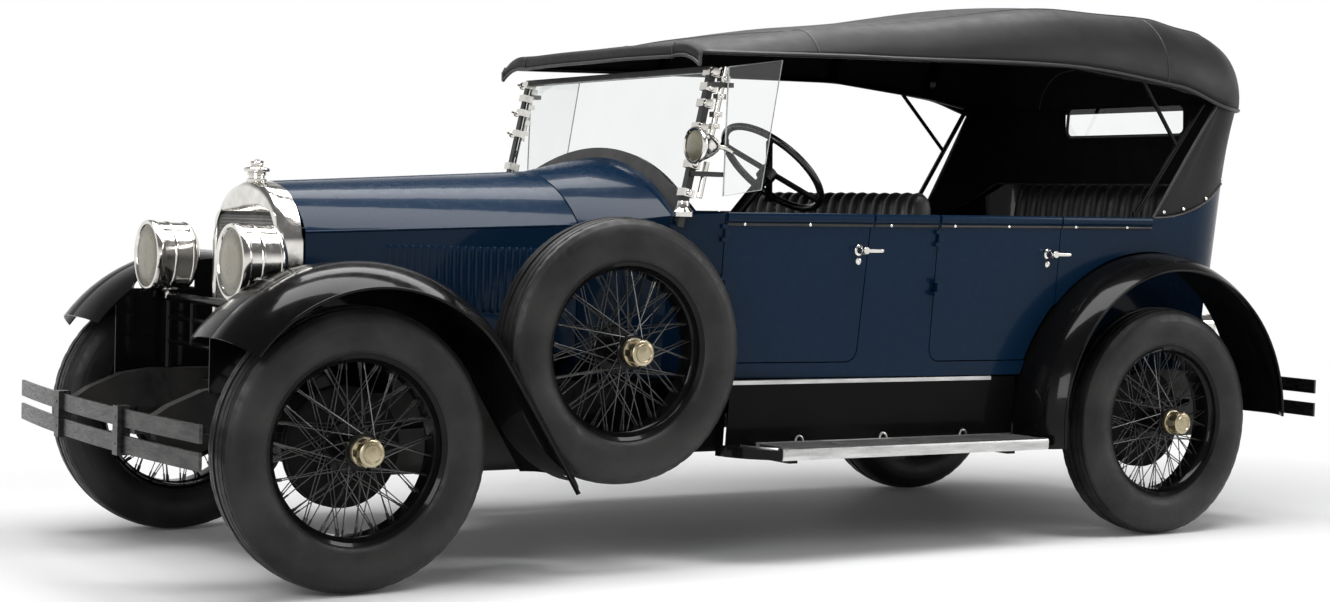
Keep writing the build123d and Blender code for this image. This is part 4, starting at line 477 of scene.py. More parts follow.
def wheel_mesh(name, drum):
    shape = Shape()
    rim = RIM_OUTSIDE + mirrored(RIM_OUTSIDE[:-1]) + mirrored(RIM_INSIDE[1:]) + RIM_INSIDE + RIM_OUTSIDE[:1]
    shape.lathe(rim, TURN_TO_Y, 96)
    shape.lathe(HUB, TURN_TO_Y, 48)
    shape.lathe(HUB_CAP, TURN_TO_Y, 48, mark=1)
    for i in range(CAP_LUGS):
        turn = Matrix.Rotation(math.tau * i / CAP_LUGS, 4, "Y")
        shape.block(turn @ Vector((0.0405, 0.125, 0)), (0.006, 0.030, 0.020), turn, mark=1)
    for count, hub_r, hub_y, rim_y, lean in SPOKE_ROWS:
        for sign in (1, -1):
            swing = math.radians(lean) * sign
            start = Vector((hub_r * math.cos(swing), hub_y + 0.0035 * sign, hub_r * math.sin(swing)))
            end = Vector((SPOKE_END, rim_y, 0))
            along = (end - start).normalized()
            for i in range(0, count, 2):
                turn = Matrix.Rotation(math.tau * (i + 0.5 * sign) / count, 4, "Y")
                shape.tube([turn @ start, turn @ (end - along * 0.02)], SPOKE_RADIUS, 6, mark=2)
                shape.tube([turn @ (end - along * 0.021), turn @ end], NIPPLE_RADIUS, 6, mark=2)
    if drum:
        shape.lathe(DRUM_CUP, TURN_TO_Y, 72, mark=3)
        for i in range(DRUM_STUDS):
            swing = math.tau * i / DRUM_STUDS
            stud = (DRUM_STUD_RING * math.cos(swing), -0.0465, DRUM_STUD_RING * math.sin(swing))
            shape.dome(stud, (0, 1, 0), 0.008, mark=3)
    return make_mesh(name, shape, [BLACK, BRASS, SPOKE, DRUM], 35)


tyre = tyre_mesh()
road_wheel = wheel_mesh("road_wheel", True)
spare_wheel = wheel_mesh("spare_wheel", False)
HALF_TURN = Matrix.Rotation(math.pi, 4, "Z")
for side, sign in SIDES:
    facing = Matrix() if sign > 0 else HALF_TURN
    for end, axle_x in (("front", FRONT_X), ("rear", REAR_X)):
        corner = Matrix.Translation((axle_x, sign * WHEEL_Y, HUB_Z)) @ facing
        place = f"{end}_{side}"
        put(f"tread_{place}", tyre, f"road_wheel_{place}", [f"tyre_{place}"], corner)
        put(f"wires_{place}", road_wheel, f"road_wheel_{place}", [f"wheel_{place}"], corner)
    corner = Matrix.Translation((SPARE.x, sign * SPARE.y, SPARE.z)) @ facing
    put(f"tread_spare_{side}", tyre, "car", ["spare_tyres"], corner)
    put(f"wires_spare_{side}", spare_wheel, "car", ["spare_wheels"], corner)


# Radiator: rounded shell, filler cap and honeycomb
CORE_FACE_X = 1.855
SHELL_CENTRE = (0.0, 0.86)
SHELL_HALF = 0.296
SHELL_FOOT = 0.5603
SHELL_STEPS = 160


def reach(outline, angle):
    """Distance from the shell's centre to a closed outline along an angle."""
    dy, dz = math.cos(angle), math.sin(angle)
    best = 0.0
    for (y0, z0), (y1, z1) in zip(outline, outline[1:] + outline[:1]):
        ey, ez = y1 - y0, z1 - z0
        det = dy * ez - dz * ey
        if abs(det) < 1e-12:
            continue
        py, pz = y0 - SHELL_CENTRE[0], z0 - SHELL_CENTRE[1]
        along = (py * ez - pz * ey) / det
        share = (py * dz - pz * dy) / det
        if along > 0 and -1e-9 <= share <= 1 + 1e-9:
            best = max(best, along)
    return best


def rounded(half_y, low, high, radius, count=8):
    """Closed rounded rectangle in the YZ plane."""
    points = []
    for cy, cz, first in ((half_y - radius, high - radius, 0), (radius - half_y, high - radius, 90),
                          (radius - half_y, low + radius, 180), (half_y - radius, low + radius, 270)):
        for i in range(count):
            a = math.radians(first + 90 * i / (count - 1))
            points.append((cy + radius * math.cos(a), cz + radius * math.sin(a)))
    return points


shoulder = arc3((SHELL_HALF, 1.040), (0.215, 1.168), (0.090, 1.222), 16)
crown = arc3((0.090, 1.222), (0.0, 1.235), (-0.090, 1.222), 12)
far_shoulder = [(-y, z) for y, z in reversed(shoulder)]
outer = [(SHELL_HALF, SHELL_FOOT)] + shoulder + crown[1:-1] + far_shoulder + [(-SHELL_HALF, SHELL_FOOT)]
opening = rounded(0.258, 0.590, 1.130, 0.045)
# Shell rings from the rear edge round the front into the opening: outline, inset, x
SHELL_RINGS = ((outer, 0.0, 1.7862), (outer, 0.0, 1.838), (outer, 0.003, 1.850), (outer, 0.010, 1.859),
               (outer, 0.020, 1.8635), (outer, 0.030, 1.8648), (opening, -0.006, 1.8632),
               (opening, -0.002, 1.8605), (opening, 0.0, 1.856), (opening, 0.0005, 1.800))
shape = Shape()
rows = []
for outline, inset, x in SHELL_RINGS:
    row = []
    for angle in (math.tau * i / SHELL_STEPS for i in range(SHELL_STEPS)):
        r = reach(outline, angle) - inset
        row.append((x, SHELL_CENTRE[0] + r * math.cos(angle), SHELL_CENTRE[1] + r * math.sin(angle)))
    rows.append(row)
shape.grid(rows, ring=True)
CAP_AT = Matrix.Translation((1.8255, 0, 1.228))
FILLER = [(0.030, 0.0), (0.033, 0.004), (0.033, 0.010), (0.027, 0.013), (0.026, 0.022), (0.031, 0.025),
          (0.031, 0.030), (0.029, 0.033), (0.041, 0.036), (0.043, 0.039), (0.043, 0.044), (0.040, 0.047),
          (0.024, 0.050), (0.018, 0.054), (0.021, 0.059), (0.021, 0.063), (0.013, 0.068), (0.008, 0.071),
          (0.009, 0.074), (0.0, 0.0765)]
shape.lathe(FILLER, CAP_AT, 36)
for sign in (1, -1):
    ear = ((0.018, 0.0605), (0.032, 0.062), (0.043, 0.066))
    shape.tube([CAP_AT @ Vector((0, sign * y, z)) for y, z in ear], 0.0055, 10)
build("radiator_shell", shape, [NICKEL], stands_for=["radiator_surround"])

# The cells stand only a few millimetres proud; the near-black core behind them is their painted shade.
CELL = 0.0135
CELL_ROW = CELL * 0.866
COMB_FOOT = 0.600
COMB_TOP = 1.122
COMB_HALF = 0.248
# Rings of a cell: radius, distance ahead of the core's face
CELL_RINGS = ((0.0077, 0.0035), (0.0062, 0.0035), (0.0056, 0.0003))
shape = Shape()
corners = [math.radians(60 * k + 30) for k in range(6)]
for row in range(46):
    for column in range(-22, 23):
        y = CELL * (column + (0.5 if row % 2 else 0.0))
        z = COMB_FOOT + CELL_ROW * row
        if abs(y) > COMB_HALF or z > COMB_TOP:
            continue
        shape.grid([[(CORE_FACE_X + ahead, y + r * math.cos(a), z + r * math.sin(a)) for a in corners]
                    for r, ahead in CELL_RINGS], ring=True)
build("radiator_comb", shape, [COMB], crease=20)

# Headlamps: drum with two bands, bright ring and fluted lens, turned about X
LAMP = Vector((2.0595, 0.371, 0.977))
LAMP_DRUM = [(0.100, -0.009), (0.104, -0.001), (0.107, 0.002), (0.112, 0.003), (0.117, 0.001),
             (0.119, -0.004), (0.119, -0.019), (0.1165, -0.025), (0.1135, -0.027), (0.113, -0.060),
             (0.1150, -0.062),
             (0.1155, -0.066), (0.1150, -0.070), (0.1125, -0.072), (0.112, -0.122), (0.1145, -0.124),
             (0.1150, -0.128), (0.1130, -0.133), (0.106, -0.141), (0.090, -0.153), (0.062, -0.164),
             (0.032, -0.170), (0.014, -0.1715), (0.0, -0.172)]
LAMP_FOOT = [(0.034, 0.006), (0.034, -0.004), (0.024, -0.010), (0.018, -0.020), (0.018, -0.034)]
shape = Shape()
for sign in (1, -1):
    shape.lathe(LAMP_DRUM, about((LAMP.x, sign * LAMP.y, LAMP.z), (1, 0, 0)), 72)
    shape.lathe(LAMP_FOOT, Matrix.Translation((LAMP.x - 0.083, sign * LAMP.y, LAMP.z - 0.108)), 24)
build("lamp_drums", shape, [NICKEL], stands_for=["headlamps"])

LENS_RADIUS = 0.1025
LENS_BULGE = 0.009
FLUTE = 0.011
FLUTE_DEPTH = 0.0007
rows = []
for r in (LENS_RADIUS * i / 30 for i in range(31)):
    row = []
    for swing in (math.tau * k / 120 for k in range(120)):
        across = r * math.cos(swing)
        ripple = FLUTE_DEPTH * math.cos(math.tau * across / FLUTE)
        row.append((across, r * math.sin(swing), 0.004 - LENS_BULGE * (r / LENS_RADIUS) ** 2 + ripple))
    rows.append(row)
shape = Shape()
shape.grid(rows, ring=True)
lens_mesh = make_mesh("lamp_lens", shape, [LENS])
UPRIGHT = Matrix(((0, 0, 1, 0), (1, 0, 0, 0), (0, 1, 0, 0), (0, 0, 0, 1)))
for side, sign in SIDES:
    put(f"lamp_lens_{side}", lens_mesh, "car", ["headlamp_lenses"],
        Matrix.Translation((LAMP.x, sign * LAMP.y, LAMP.z)) @ UPRIGHT)

# Spot lamp on the left post: bowl, glass, arm with its ball, and handle
SPOT = Vector((0.5838, 0.700, 1.392))
SPOT_BOWL = [(0.052, 0.001), (0.057, 0.004), (0.061, 0.002), (0.062, -0.006), (0.060, -0.014),
             (0.055, -0.020), (0.048, -0.040), (0.036, -0.066), (0.022, -0.088), (0.012, -0.098),
             (0.0, -0.101)]
SPOT_GLASS = [(0.0, 0.006), (0.02, 0.005), (0.040, 0.002), (0.053, -0.003)]
SPOT_BALL = [(0.0, 0.016), (0.012, 0.012), (0.017, 0.0), (0.012, -0.012), (0.0, -0.016)]
SPOT_ARM = ((-0.060, 0.0, 0.0), (-0.062, -0.066, 0.0))
SPOT_HANDLE = ((-0.095, 0.0, 0.0), (-0.125, 0.002, -0.004), (-0.150, 0.004, -0.016))
shape = Shape()
shape.lathe(SPOT_BOWL, about(SPOT, (1, 0, 0)), 40)
shape.lathe(SPOT_GLASS, about(SPOT, (1, 0, 0)), 40, mark=1)
shape.tube([SPOT + Vector(p) for p in SPOT_ARM], 0.0115, 12)
shape.lathe(SPOT_BALL, Matrix.Translation(SPOT + Vector((-0.062, -0.030, 0))), 20)
shape.tube([SPOT + Vector(p) for p in SPOT_HANDLE], 0.008, 10)
build("spot_lamp_body", shape, [NICKEL, LENS], stands_for=["spot_lamp"])

# Body side: it widens from the front doors to the pillar, and tucks in below the belt
SIDE_FRONT_X = 0.4115
PILLAR_X = -0.4815
SIDE_TOP_Z = 1.187
SIDE_HEIGHT = 0.577
SIDE_TUCK = 0.044
BELT_Z = 1.172


def skin_y(x, z):
    """Half width of the body on its straight sides."""
    tuck = SIDE_TUCK * (SIDE_TOP_Z - z) / SIDE_HEIGHT
    share = min(1.0, max(0.0, (SIDE_FRONT_X - x) / (SIDE_FRONT_X - PILLAR_X)))
    return 0.645 + 0.052 * share + 0.003 * max(0.0, (PILLAR_X - x) / 1.268) - tuck


def belt_z(x):
    """Height of the belt, which rises towards the rear."""
    return BELT_Z + 0.030 * (SIDE_FRONT_X - x) / 1.972


# Belt section: out from the skin, up from the belt line
BELT_ROLL = ((0.0, 0.0025), (0.004, 0.003), (0.0075, -0.002), (0.009, -0.010), (0.0085, -0.018),
             (0.006, -0.026), (0.0, -0.030), (-0.001, -0.015))
WELT_DROP = 0.037
# Belt runs: piece, body, front x, rear x
BELT_RUNS = (("front_door", "door_front_{}", 0.4020, -0.1925), ("pillar", "car", -0.2005, -0.4745),
             ("rear_door", "door_rear_{}", -0.4870, -1.0625), ("quarter", "car", -1.0705, -1.5300))
for run, body, front_x, rear_x in BELT_RUNS:
    for side, sign in SIDES:
        count = max(4, int((front_x - rear_x) / 0.06))
        stations = [blend(front_x, rear_x, i / count) for i in range(count + 1)]
        shape = Shape()
        shape.bar([[(x, sign * (skin_y(x, belt_z(x) - 0.015) + out), belt_z(x) + up) for out, up in BELT_ROLL]
                   for x in stations])
        welt = []
        for x in stations:
            z = belt_z(x) - WELT_DROP
            welt.append((x, sign * (skin_y(x, z) + 0.001), z))
        shape.tube(welt, 0.0055, 8, mark=1)
        for x, y, z in welt[1:count:4]:
            shape.dome((x, y + sign * 0.0045, z), (0, sign, 0), 0.0062, mark=2)
        build(f"belt_{run}_{side}", shape, [BLUE, WELT, NICKEL], body.format(side))

# Door handles: boss, tapered lever over the frame's own grip, and keyhole plate
HANDLE_Z = 1.056
KEYHOLE_Z = 1.018
HANDLE_BOSS = [(0.020, -0.002), (0.020, 0.003), (0.018, 0.005), (0.0135, 0.007), (0.0125, 0.014),
               (0.0122, 0.030), (0.015, 0.034), (0.0155, 0.042), (0.012, 0.047), (0.0, 0.048)]
KEYHOLE = [(0.012, 0.0), (0.012, 0.003), (0.008, 0.005), (0.004, 0.005), (0.0, 0.002)]
LEVER_STEPS = 12


def squarish(angle):
    """A point on a square of half size 1 with well rounded corners."""
    c, s = math.cos(angle), math.sin(angle)
    return math.copysign(abs(c) ** 0.45, c), math.copysign(abs(s) ** 0.45, s)


for row, handle_x in (("front", -0.1425), ("rear", -1.0125)):
    for side, sign in SIDES:
        skin = skin_y(handle_x, HANDLE_Z)
        shape = Shape()
        shape.lathe(HANDLE_BOSS, about((handle_x, sign * skin, HANDLE_Z), (0, sign, 0)), 28)
        lever = []
        for i in range(LEVER_STEPS + 1):
            share = i / LEVER_STEPS
            x = blend(handle_x + 0.018, handle_x - 0.079, share)
            pinch = 0.72 if i in (0, LEVER_STEPS) else 1.0
            half_z = (0.0076 - 0.0008 * share) * pinch
            half_y = (0.0060 - 0.0006 * share) * pinch
            section = [squarish(math.tau * k / 20) for k in range(20)]
            lever.append([(x, sign * (skin + 0.037 + half_y * a), HANDLE_Z + half_z * b) for a, b in section])
        shape.bar(lever)
        shape.lathe(KEYHOLE, about((handle_x, sign * (skin - 0.003), KEYHOLE_Z), (0, sign, 0)), 20)
        build(f"handle_{row}_{side}", shape, [NICKEL], f"door_{row}_{side}")

# Hood side louvres, pressed outwards and open to the rear, and two hood catches
LOUVRES = 24
LOUVRE_PITCH = 0.026
# Section across a louvre: along the hood, out from it
LOUVRE_SECTION = ((0.0115, 0.0002), (0.0065, 0.0028), (0.0, 0.0044), (-0.0055, 0.0052), (-0.0075, 0.0044),
                  (-0.0078, 0.0))
# Sections up a louvre: height about its middle, share of its swell
LOUVRE_RISE = ((-0.108, 0.0), (-0.104, 0.55), (-0.097, 1.0), (0.097, 1.0), (0.104, 0.55), (0.108, 0.0))
LOUVRE_Z = 0.930
CATCH_Z = 0.725
HOOD_LENGTH = 0.939
HOOD_FLARE = 0.095
for side, sign in SIDES:
    shape = Shape()
    rear = Vector((aft(0.969), sign * 0.400, LOUVRE_Z))
    along = Vector((HOOD_LENGTH, -sign * HOOD_FLARE, 0)).normalized()
    out = Vector((HOOD_FLARE, sign * HOOD_LENGTH, 0)).normalized()
    for i in range(LOUVRES):
        middle = rear + along * (0.070 + LOUVRE_PITCH * i)
        shape.grid([[middle + along * s + out * (0.0003 + n * swell) + Vector((0, 0, up))
                     for s, n in LOUVRE_SECTION] for up, swell in LOUVRE_RISE])
    for share in (0.22, 0.78):
        foot = rear + along * (0.944 * share) + Vector((0, 0, CATCH_Z - LOUVRE_Z))
        shape.dome(foot + out * 0.001, out, 0.016, mark=1, steps=20)
        shape.tube([foot + out * 0.008, foot + out * 0.016 + Vector((0, 0, -0.012)),
                    foot + out * 0.014 + Vector((0, 0, -0.042))], 0.005, 10, mark=1)
    build(f"louvres_{side}", shape, [BLUE, NICKEL], f"hood_side_{side}")

# Fender beads: a rolled wire along each outer edge
FENDER_EDGE_Y = 0.8625
# Beads: end, centre x, radius, first angle, sweep, straight tail
BEADS = (("front", FRONT_X - 0.045, 0.4875, 36, 112, 0.489), ("rear", REAR_X, 0.5765, -8, 187, 0.0))
for end, centre_x, radius, first, sweep, tail in BEADS:
    for side, sign in SIDES:
        path = []
        for i in range(57):
            a = math.radians(first + sweep * i / 56)
            x = centre_x + radius * math.cos(a)
            path.append(Vector((x, sign * FENDER_EDGE_Y, HUB_Z + radius * math.sin(a))))
        if tail:
            along = (path[-1] - path[-2]).normalized()
            path += [path[-1] + along * tail * k / 8 for k in range(1, 9)]
        shape = Shape()
        shape.tube(path, 0.0048, 10)
        build(f"fender_bead_{end}_{side}", shape, [BLACK])

# Running boards: ribbed mats, bright middle plate, edge trim and small loops; a bright strip on each apron
BOARD_TOP = 0.387
BOARD_EDGE_Y = 0.842
RIB_HEIGHT = 0.0016
MAT_LIFT = 0.003
# Panels: finish number, front x, rear x, rib pitch
BOARD_PANELS = ((0, 0.2600, -0.0150, 0.011), (1, -0.0150, -0.3350, 0.022), (0, -0.3350, -0.8850, 0.011))
# Edge trim section: out from the edge, up from the board
BOARD_TRIM = ((0.0, -0.036), (0.004, -0.036), (0.0075, -0.028), (0.008, -0.006), (0.004, 0.002),
              (-0.004, 0.005), (-0.022, 0.005), (-0.022, 0.0005), (0.0, 0.0))
APRON_Y = 0.6565
# Apron strip: x, width of its top
APRON_STRIP = ((0.372, 0.034), (0.0, 0.028), (-0.4, 0.018), (-0.78, 0.006))
for side, sign in SIDES:
    shape = Shape()
    lanes = [0.668 + 0.152 * k / 84 for k in range(85)]
    for mark, front_x, rear_x, pitch in BOARD_PANELS:
        ribs = [MAT_LIFT + RIB_HEIGHT * max(0.0, math.cos(math.tau * y / pitch)) for y in lanes]
        flat = [0.0] * len(lanes)
        shape.grid([[(x, sign * y, BOARD_TOP + up) for y, up in zip(lanes, lift)]
                    for x, lift in ((front_x, flat), (front_x - 0.001, ribs), (rear_x + 0.001, ribs),
                                    (rear_x, flat))], mark)
    nose = arc3((0.3540, 0.690), (0.3200, 0.775), (0.2630, 0.8405), 14)
    shape.tube([(x, sign * y, BOARD_TOP + 0.001) for x, y in nose], 0.0045, 8, mark=1)
    shape.bar([[(x, sign * (BOARD_EDGE_Y + out), BOARD_TOP + up) for out, up in BOARD_TRIM]
               for x in (0.292, 0.262, -0.20, -0.60, -0.898)], 1)
    shape.block((-0.31, sign * 0.655, BOARD_TOP + 0.003), (1.16, 0.014, 0.006), mark=1)
    for x in (0.085, -0.285, -0.655):
        hoop = [(x + 0.016 * math.cos(a), sign * APRON_Y, BOARD_TOP + 0.004 + 0.020 * math.sin(a))
                for a in (math.pi * k / 10 for k in range(11))]
        shape.tube(hoop, 0.0042, 8, mark=1)
    build(f"board_dress_{side}", shape, [MAT, ALUMINIUM])
    shape = Shape()
    rows = []
    for x, width in APRON_STRIP:
        section = ((APRON_Y - width, 0.6035), (APRON_Y - width, 0.6055), (APRON_Y + 0.0015, 0.6055),
                   (APRON_Y + 0.0025, 0.6010), (APRON_Y + 0.0025, 0.5920), (APRON_Y + 0.0007, 0.5920))
        rows.append([(x, sign * y, z) for y, z in section])
    shape.bar(rows)
    build(f"apron_strip_{side}", shape, [ALUMINIUM])

# Undertray below the engine: a sheet trough inside the frame rails, open at both ends
TRAY_HALF = 0.343
TRAY_TOP = 0.470
TRAY_ROUND = 0.050
TRAY_SHEET = 0.002
# Tray sections: x, lowest height
TRAY = ((1.600, 0.335), (1.500, 0.290), (0.640, 0.290), (0.480, 0.335))


def tray_section(x, low, inset):
    """Points across the trough from one top edge to the other, inset from its outside."""
    radius = TRAY_ROUND - inset
    bend = [(TRAY_HALF - TRAY_ROUND + radius * math.cos(a), low + TRAY_ROUND - radius * math.sin(a))
            for a in (math.pi / 2 * k / 8 for k in range(9))]
    half = [(TRAY_HALF - inset, TRAY_TOP)] + bend
    return [(x, y, z) for y, z in half] + [(x, -y, z) for y, z in reversed(half)]


shape = Shape()
outside = [tray_section(x, low, 0.0) for x, low in TRAY]
inside = [tray_section(x, low, TRAY_SHEET) for x, low in TRAY]
shape.grid([a + b[::-1] for a, b in zip(outside, inside)], ring=True)
for end in (0, -1):
    shape.grid([outside[end], inside[end]])
build("undertray", shape, [CHASSIS])


# Fabric top: deck over the bows, then the quarter and rear curtain
def thicken(sheet, outward):
    """Gives a sheet its thickness: cloth on the face that looks outward, lining on the other."""
    mesh = sheet.data
    facing = sum(p.area * p.normal.dot(outward(p.center)) for p in mesh.polygons)
    if facing < 0:
        mesh.flip_normals()
    skin = sheet.modifiers.new("thickness", "SOLIDIFY")
    skin.thickness = 0.003
    skin.offset = -1
    skin.material_offset = 1


# Deck sections: station behind the front axle, half width, edge height, crown height
DECK = ((1.266, 0.676, 1.705, 1.746), (1.980, 0.710, 1.729, 1.868), (2.870, 0.742, 1.751, 2.003),
        (3.410, 0.750, 1.709, 2.012), (3.680, 0.742, 1.642, 1.984), (3.780, 0.712, 1.636, 1.956),
        (3.840, 0.640, 1.636, 1.912), (3.872, 0.520, 1.636, 1.862))
DECK_FRONT = DECK[0][0]
DECK_REAR = DECK[-1][0]
BOWS = (1.266, 1.980, 2.870, 3.410, 3.680)
SAG = 0.007
RIPPLE = 0.0022
FLANK_POINTS = 15
# Front valance: offsets of its rows from the deck's front edge
VALANCE = ((0.008, 0, -0.046), (0.009, 0, -0.018))
TURN_DOWN_Z = 1.650
SEAM_ROWS = (15, 60)
SEAM_RADIUS = 0.0028
BINDING_RADIUS = 0.0065


def deck_values(station):
    """Half width, edge and crown of the deck at a station, on smooth curves through the sections."""
    i = max(k for k in range(len(DECK) - 1) if DECK[k][0] <= station + 1e-9)
    a, b = DECK[i], DECK[i + 1]
    share = (station - a[0]) / (b[0] - a[0])
    ease = []
    for column in (1, 2, 3):
        slope = []
        for k in (i, i + 1):
            low, high = DECK[max(0, k - 1)], DECK[min(len(DECK) - 1, k + 1)]
            slope.append(0.7 * (high[column] - low[column]) / (high[0] - low[0]) * (b[0] - a[0]))
        s2, s3 = share * share, share ** 3
        ease.append((2 * s3 - 3 * s2 + 1) * a[column] + (s3 - 2 * s2 + share) * slope[0]
                    + (3 * s2 - 2 * s3) * b[column] + (s3 - s2) * slope[1])
    return ease


def deck_row(station):
    """Points of the deck across the car at a station, left edge to right edge."""
    half, edge, top = deck_values(station)
    h = top - edge
    sag = 0.0
    for a, b in zip(BOWS, BOWS[1:]):
        if a < station < b:
            sag = SAG * math.sin(math.pi * (station - a) / (b - a)) ** 2
    flank = arc3((half, edge), (0.93 * half, top - 0.4 * h), (0.75 * half, top - 0.12 * h), FLANK_POINTS)
    middle = arc3((0.75 * half, top - 0.12 * h), (0.0, top), (-0.75 * half, top - 0.12 * h), 25)
    profile = flank + middle[1:-1] + [(-y, z) for y, z in reversed(flank)]
    row = []
    for k, (y, z) in enumerate(profile):
        pull = math.sin(math.pi * k / (len(profile) - 1))
        ripple = RIPPLE * noise.noise(Vector((station * 2.2, y * 3.0, z * 3.0)))
        row.append(Vector((aft(station), y, z - sag * pull + ripple * pull)))
    return row


# The front edge hangs down as a valance and the rear edge turns down to meet the curtain
stations = [DECK_FRONT + 0.036 * i for i in range(68)] + [3.700 + 0.0172 * i for i in range(11)]
rows = [deck_row(min(s, DECK_REAR)) for s in stations]
rear_edge = rows[-1]
rows = [[p + Vector(hang) for p in rows[0]] for hang in VALANCE] + rows
for share in (0.15, 0.4, 0.7, 1.0):
    rows.append([Vector((p.x - 0.003 * share, p.y, blend(p.z, min(p.z, TURN_DOWN_Z), share)))
                 for p in rear_edge])
shape = Shape()
shape.grid(rows)
deck_mesh = make_mesh("top_deck", shape, [CLOTH, LINING], 60)
deck = put("top_deck", deck_mesh, "car", ["top_cover"])
thicken(deck, lambda p: Vector((0, 0, 1)))

trim = Shape()
for k in (0, -1):
    trim.tube([row[k] for row in rows], BINDING_RADIUS)
trim.tube(rows[0], 0.006)
trim.tube(rear_edge, 0.004)
proud = Vector((0, 0, 0.0005))
for k in (FLANK_POINTS - 1, -FLANK_POINTS):
    trim.tube([row[k] + proud for row in rows], SEAM_RADIUS, 6)
for i in SEAM_ROWS:
    trim.tube([p + proud for p in rows[i]], SEAM_RADIUS, 6)
build("top_binding", trim, [WELT])

# Curtain plan sections: height, side y, corner x, x and y of the corner's end, rear x
CURTAIN_LOW = (1.192, 0.688, -1.7495, -2.0625, 0.423, -2.0975)
CURTAIN_HIGH = (1.676, 0.734, -1.8885, -2.0305, 0.590, -2.0595)
# Leaning front edge of the curtain: height, x
CURTAIN_FRONT = ((1.142, -1.5085), (1.696, -1.8585))
# Points along the side, round the corner and across half the rear
CURTAIN_COLUMNS = (10, 16, 14)
CURTAIN_MIDDLE_X = -1.6
CURTAIN_ROWS = 22
# Body edge below the curtain: it rises on an arc from its straight side to the rear
EDGE_RISE_X = -1.5605
EDGE_RUN = 0.380
EDGE_RISE = 0.143
EDGE_Z = 1.2045


def curtain_line(z):
    """Half plan of the curtain at a height, from its front edge to the rear centre."""
    share = (z - CURTAIN_LOW[0]) / (CURTAIN_HIGH[0] - CURTAIN_LOW[0])
    section = [blend(a, b, share) for a, b in zip(CURTAIN_LOW, CURTAIN_HIGH)]
    side, corner_x, end_x, end_y, rear = section[1:]
    (low_z, low_x), (high_z, high_x) = CURTAIN_FRONT
    front = blend(low_x, high_x, (z - low_z) / (high_z - low_z))
    along, round_corner, across = CURTAIN_COLUMNS
    line = [(blend(front, corner_x, i / along), side) for i in range(along)]
    dx, dy = corner_x - end_x, side - end_y
    radius = (dx * dx + dy * dy) / (2 * dy)
    sweep = math.asin(min(1.0, dx / radius))
    for turn in (sweep * i / round_corner for i in range(round_corner)):
        line.append((corner_x - radius * math.sin(turn), side - radius + radius * math.cos(turn)))
    return line + arc3((end_x, end_y), (rear, 0.0), (end_x, -end_y), 2 * across + 1)[:across + 1]


def curtain_foot(x, y):
    """Height of the body's edge below the curtain."""
    along = EDGE_RISE_X - x
    if along <= 0:
        return EDGE_Z - 0.0005
    if along >= EDGE_RUN or abs(y) < 0.5:
        return EDGE_Z + EDGE_RISE
    radius = (EDGE_RUN * EDGE_RUN + EDGE_RISE * EDGE_RISE) / (2 * EDGE_RISE)
    return EDGE_Z + radius - math.sqrt(radius * radius - along * along)


def curtain_out(x, y):
    """The way the curtain faces at a place in its plan."""
    return Vector((x - CURTAIN_MIDDLE_X, y * 0.9, 0)).normalized()


columns = len(curtain_line(CURTAIN_LOW[0]))
feet = []
for j in range(columns):
    z = 1.25
    for _ in range(6):
        z = curtain_foot(*curtain_line(z)[j])
    feet.append(z)
rows = []
for i in range(CURTAIN_ROWS + 1):
    row = []
    fold = math.sin(math.pi * i / CURTAIN_ROWS)
    for j in range(columns):
        z = blend(feet[j], CURTAIN_HIGH[0], i / CURTAIN_ROWS)
        x, y = curtain_line(z)[j]
        ripple = 0.004 * fold * noise.noise(Vector((j * 0.16, z * 2.0, 4.2)))
        hollow = 0.006 * fold * (1 if 4 < j < 26 else 0.4)
        row.append(Vector((x, y, z)) + curtain_out(x, y) * (ripple - hollow))
    rows.append(row + [Vector((p.x, -p.y, p.z)) for p in reversed(row[:-1])])
shape = Shape()
shape.grid(rows)
curtain_mesh = make_mesh("top_curtain", shape, [CLOTH, LINING], 60)
curtain = put("top_curtain", curtain_mesh, "car", ["top_cover"])
thicken(curtain, lambda p: Vector((p.x - CURTAIN_MIDDLE_X, p.y, 0)))

# The rear window is cut out of the curtain and bound
WINDOW_AT = Matrix.Translation((-2.0645, 0, 1.612)) @ Matrix.Rotation(math.atan2(-0.038, 0.484), 4, "Y")
window = rounded(0.3445, -0.0605, 0.0605, 0.030, 7)
shape = Shape()
shape.bar([[WINDOW_AT @ Vector((x, y, z)) for y, z in window] for x in (-0.08, 0.08)])
cutter = add_object("window_cut", make_mesh("window_cut", shape, []))
cut = curtain.modifiers.new("window", "BOOLEAN")
cut.operation = "DIFFERENCE"
cut.object = cutter
cut.solver = "EXACT"
bpy.context.view_layer.update()
cut_mesh = bpy.data.meshes.new_from_object(curtain.evaluated_get(bpy.context.evaluated_depsgraph_get()))
curtain.modifiers.clear()
curtain.data = cut_mesh
bpy.data.objects.remove(cutter)

trim = Shape()
trim.tube([WINDOW_AT @ Vector((-0.0005, y, z)) for y, z in window], 0.0075, closed=True)
trim.tube(rows[0], 0.006)
for j in (0, -1):
    trim.tube([row[j] for row in rows], BINDING_RADIUS)
studs = Shape()
for base in rows[1][2:-2:5]:
    out = curtain_out(base.x, base.y)
    studs.dome(base + out * 0.002, out, 0.008)
build("curtain_binding", trim, [WELT])
build("curtain_studs", studs, [NICKEL])


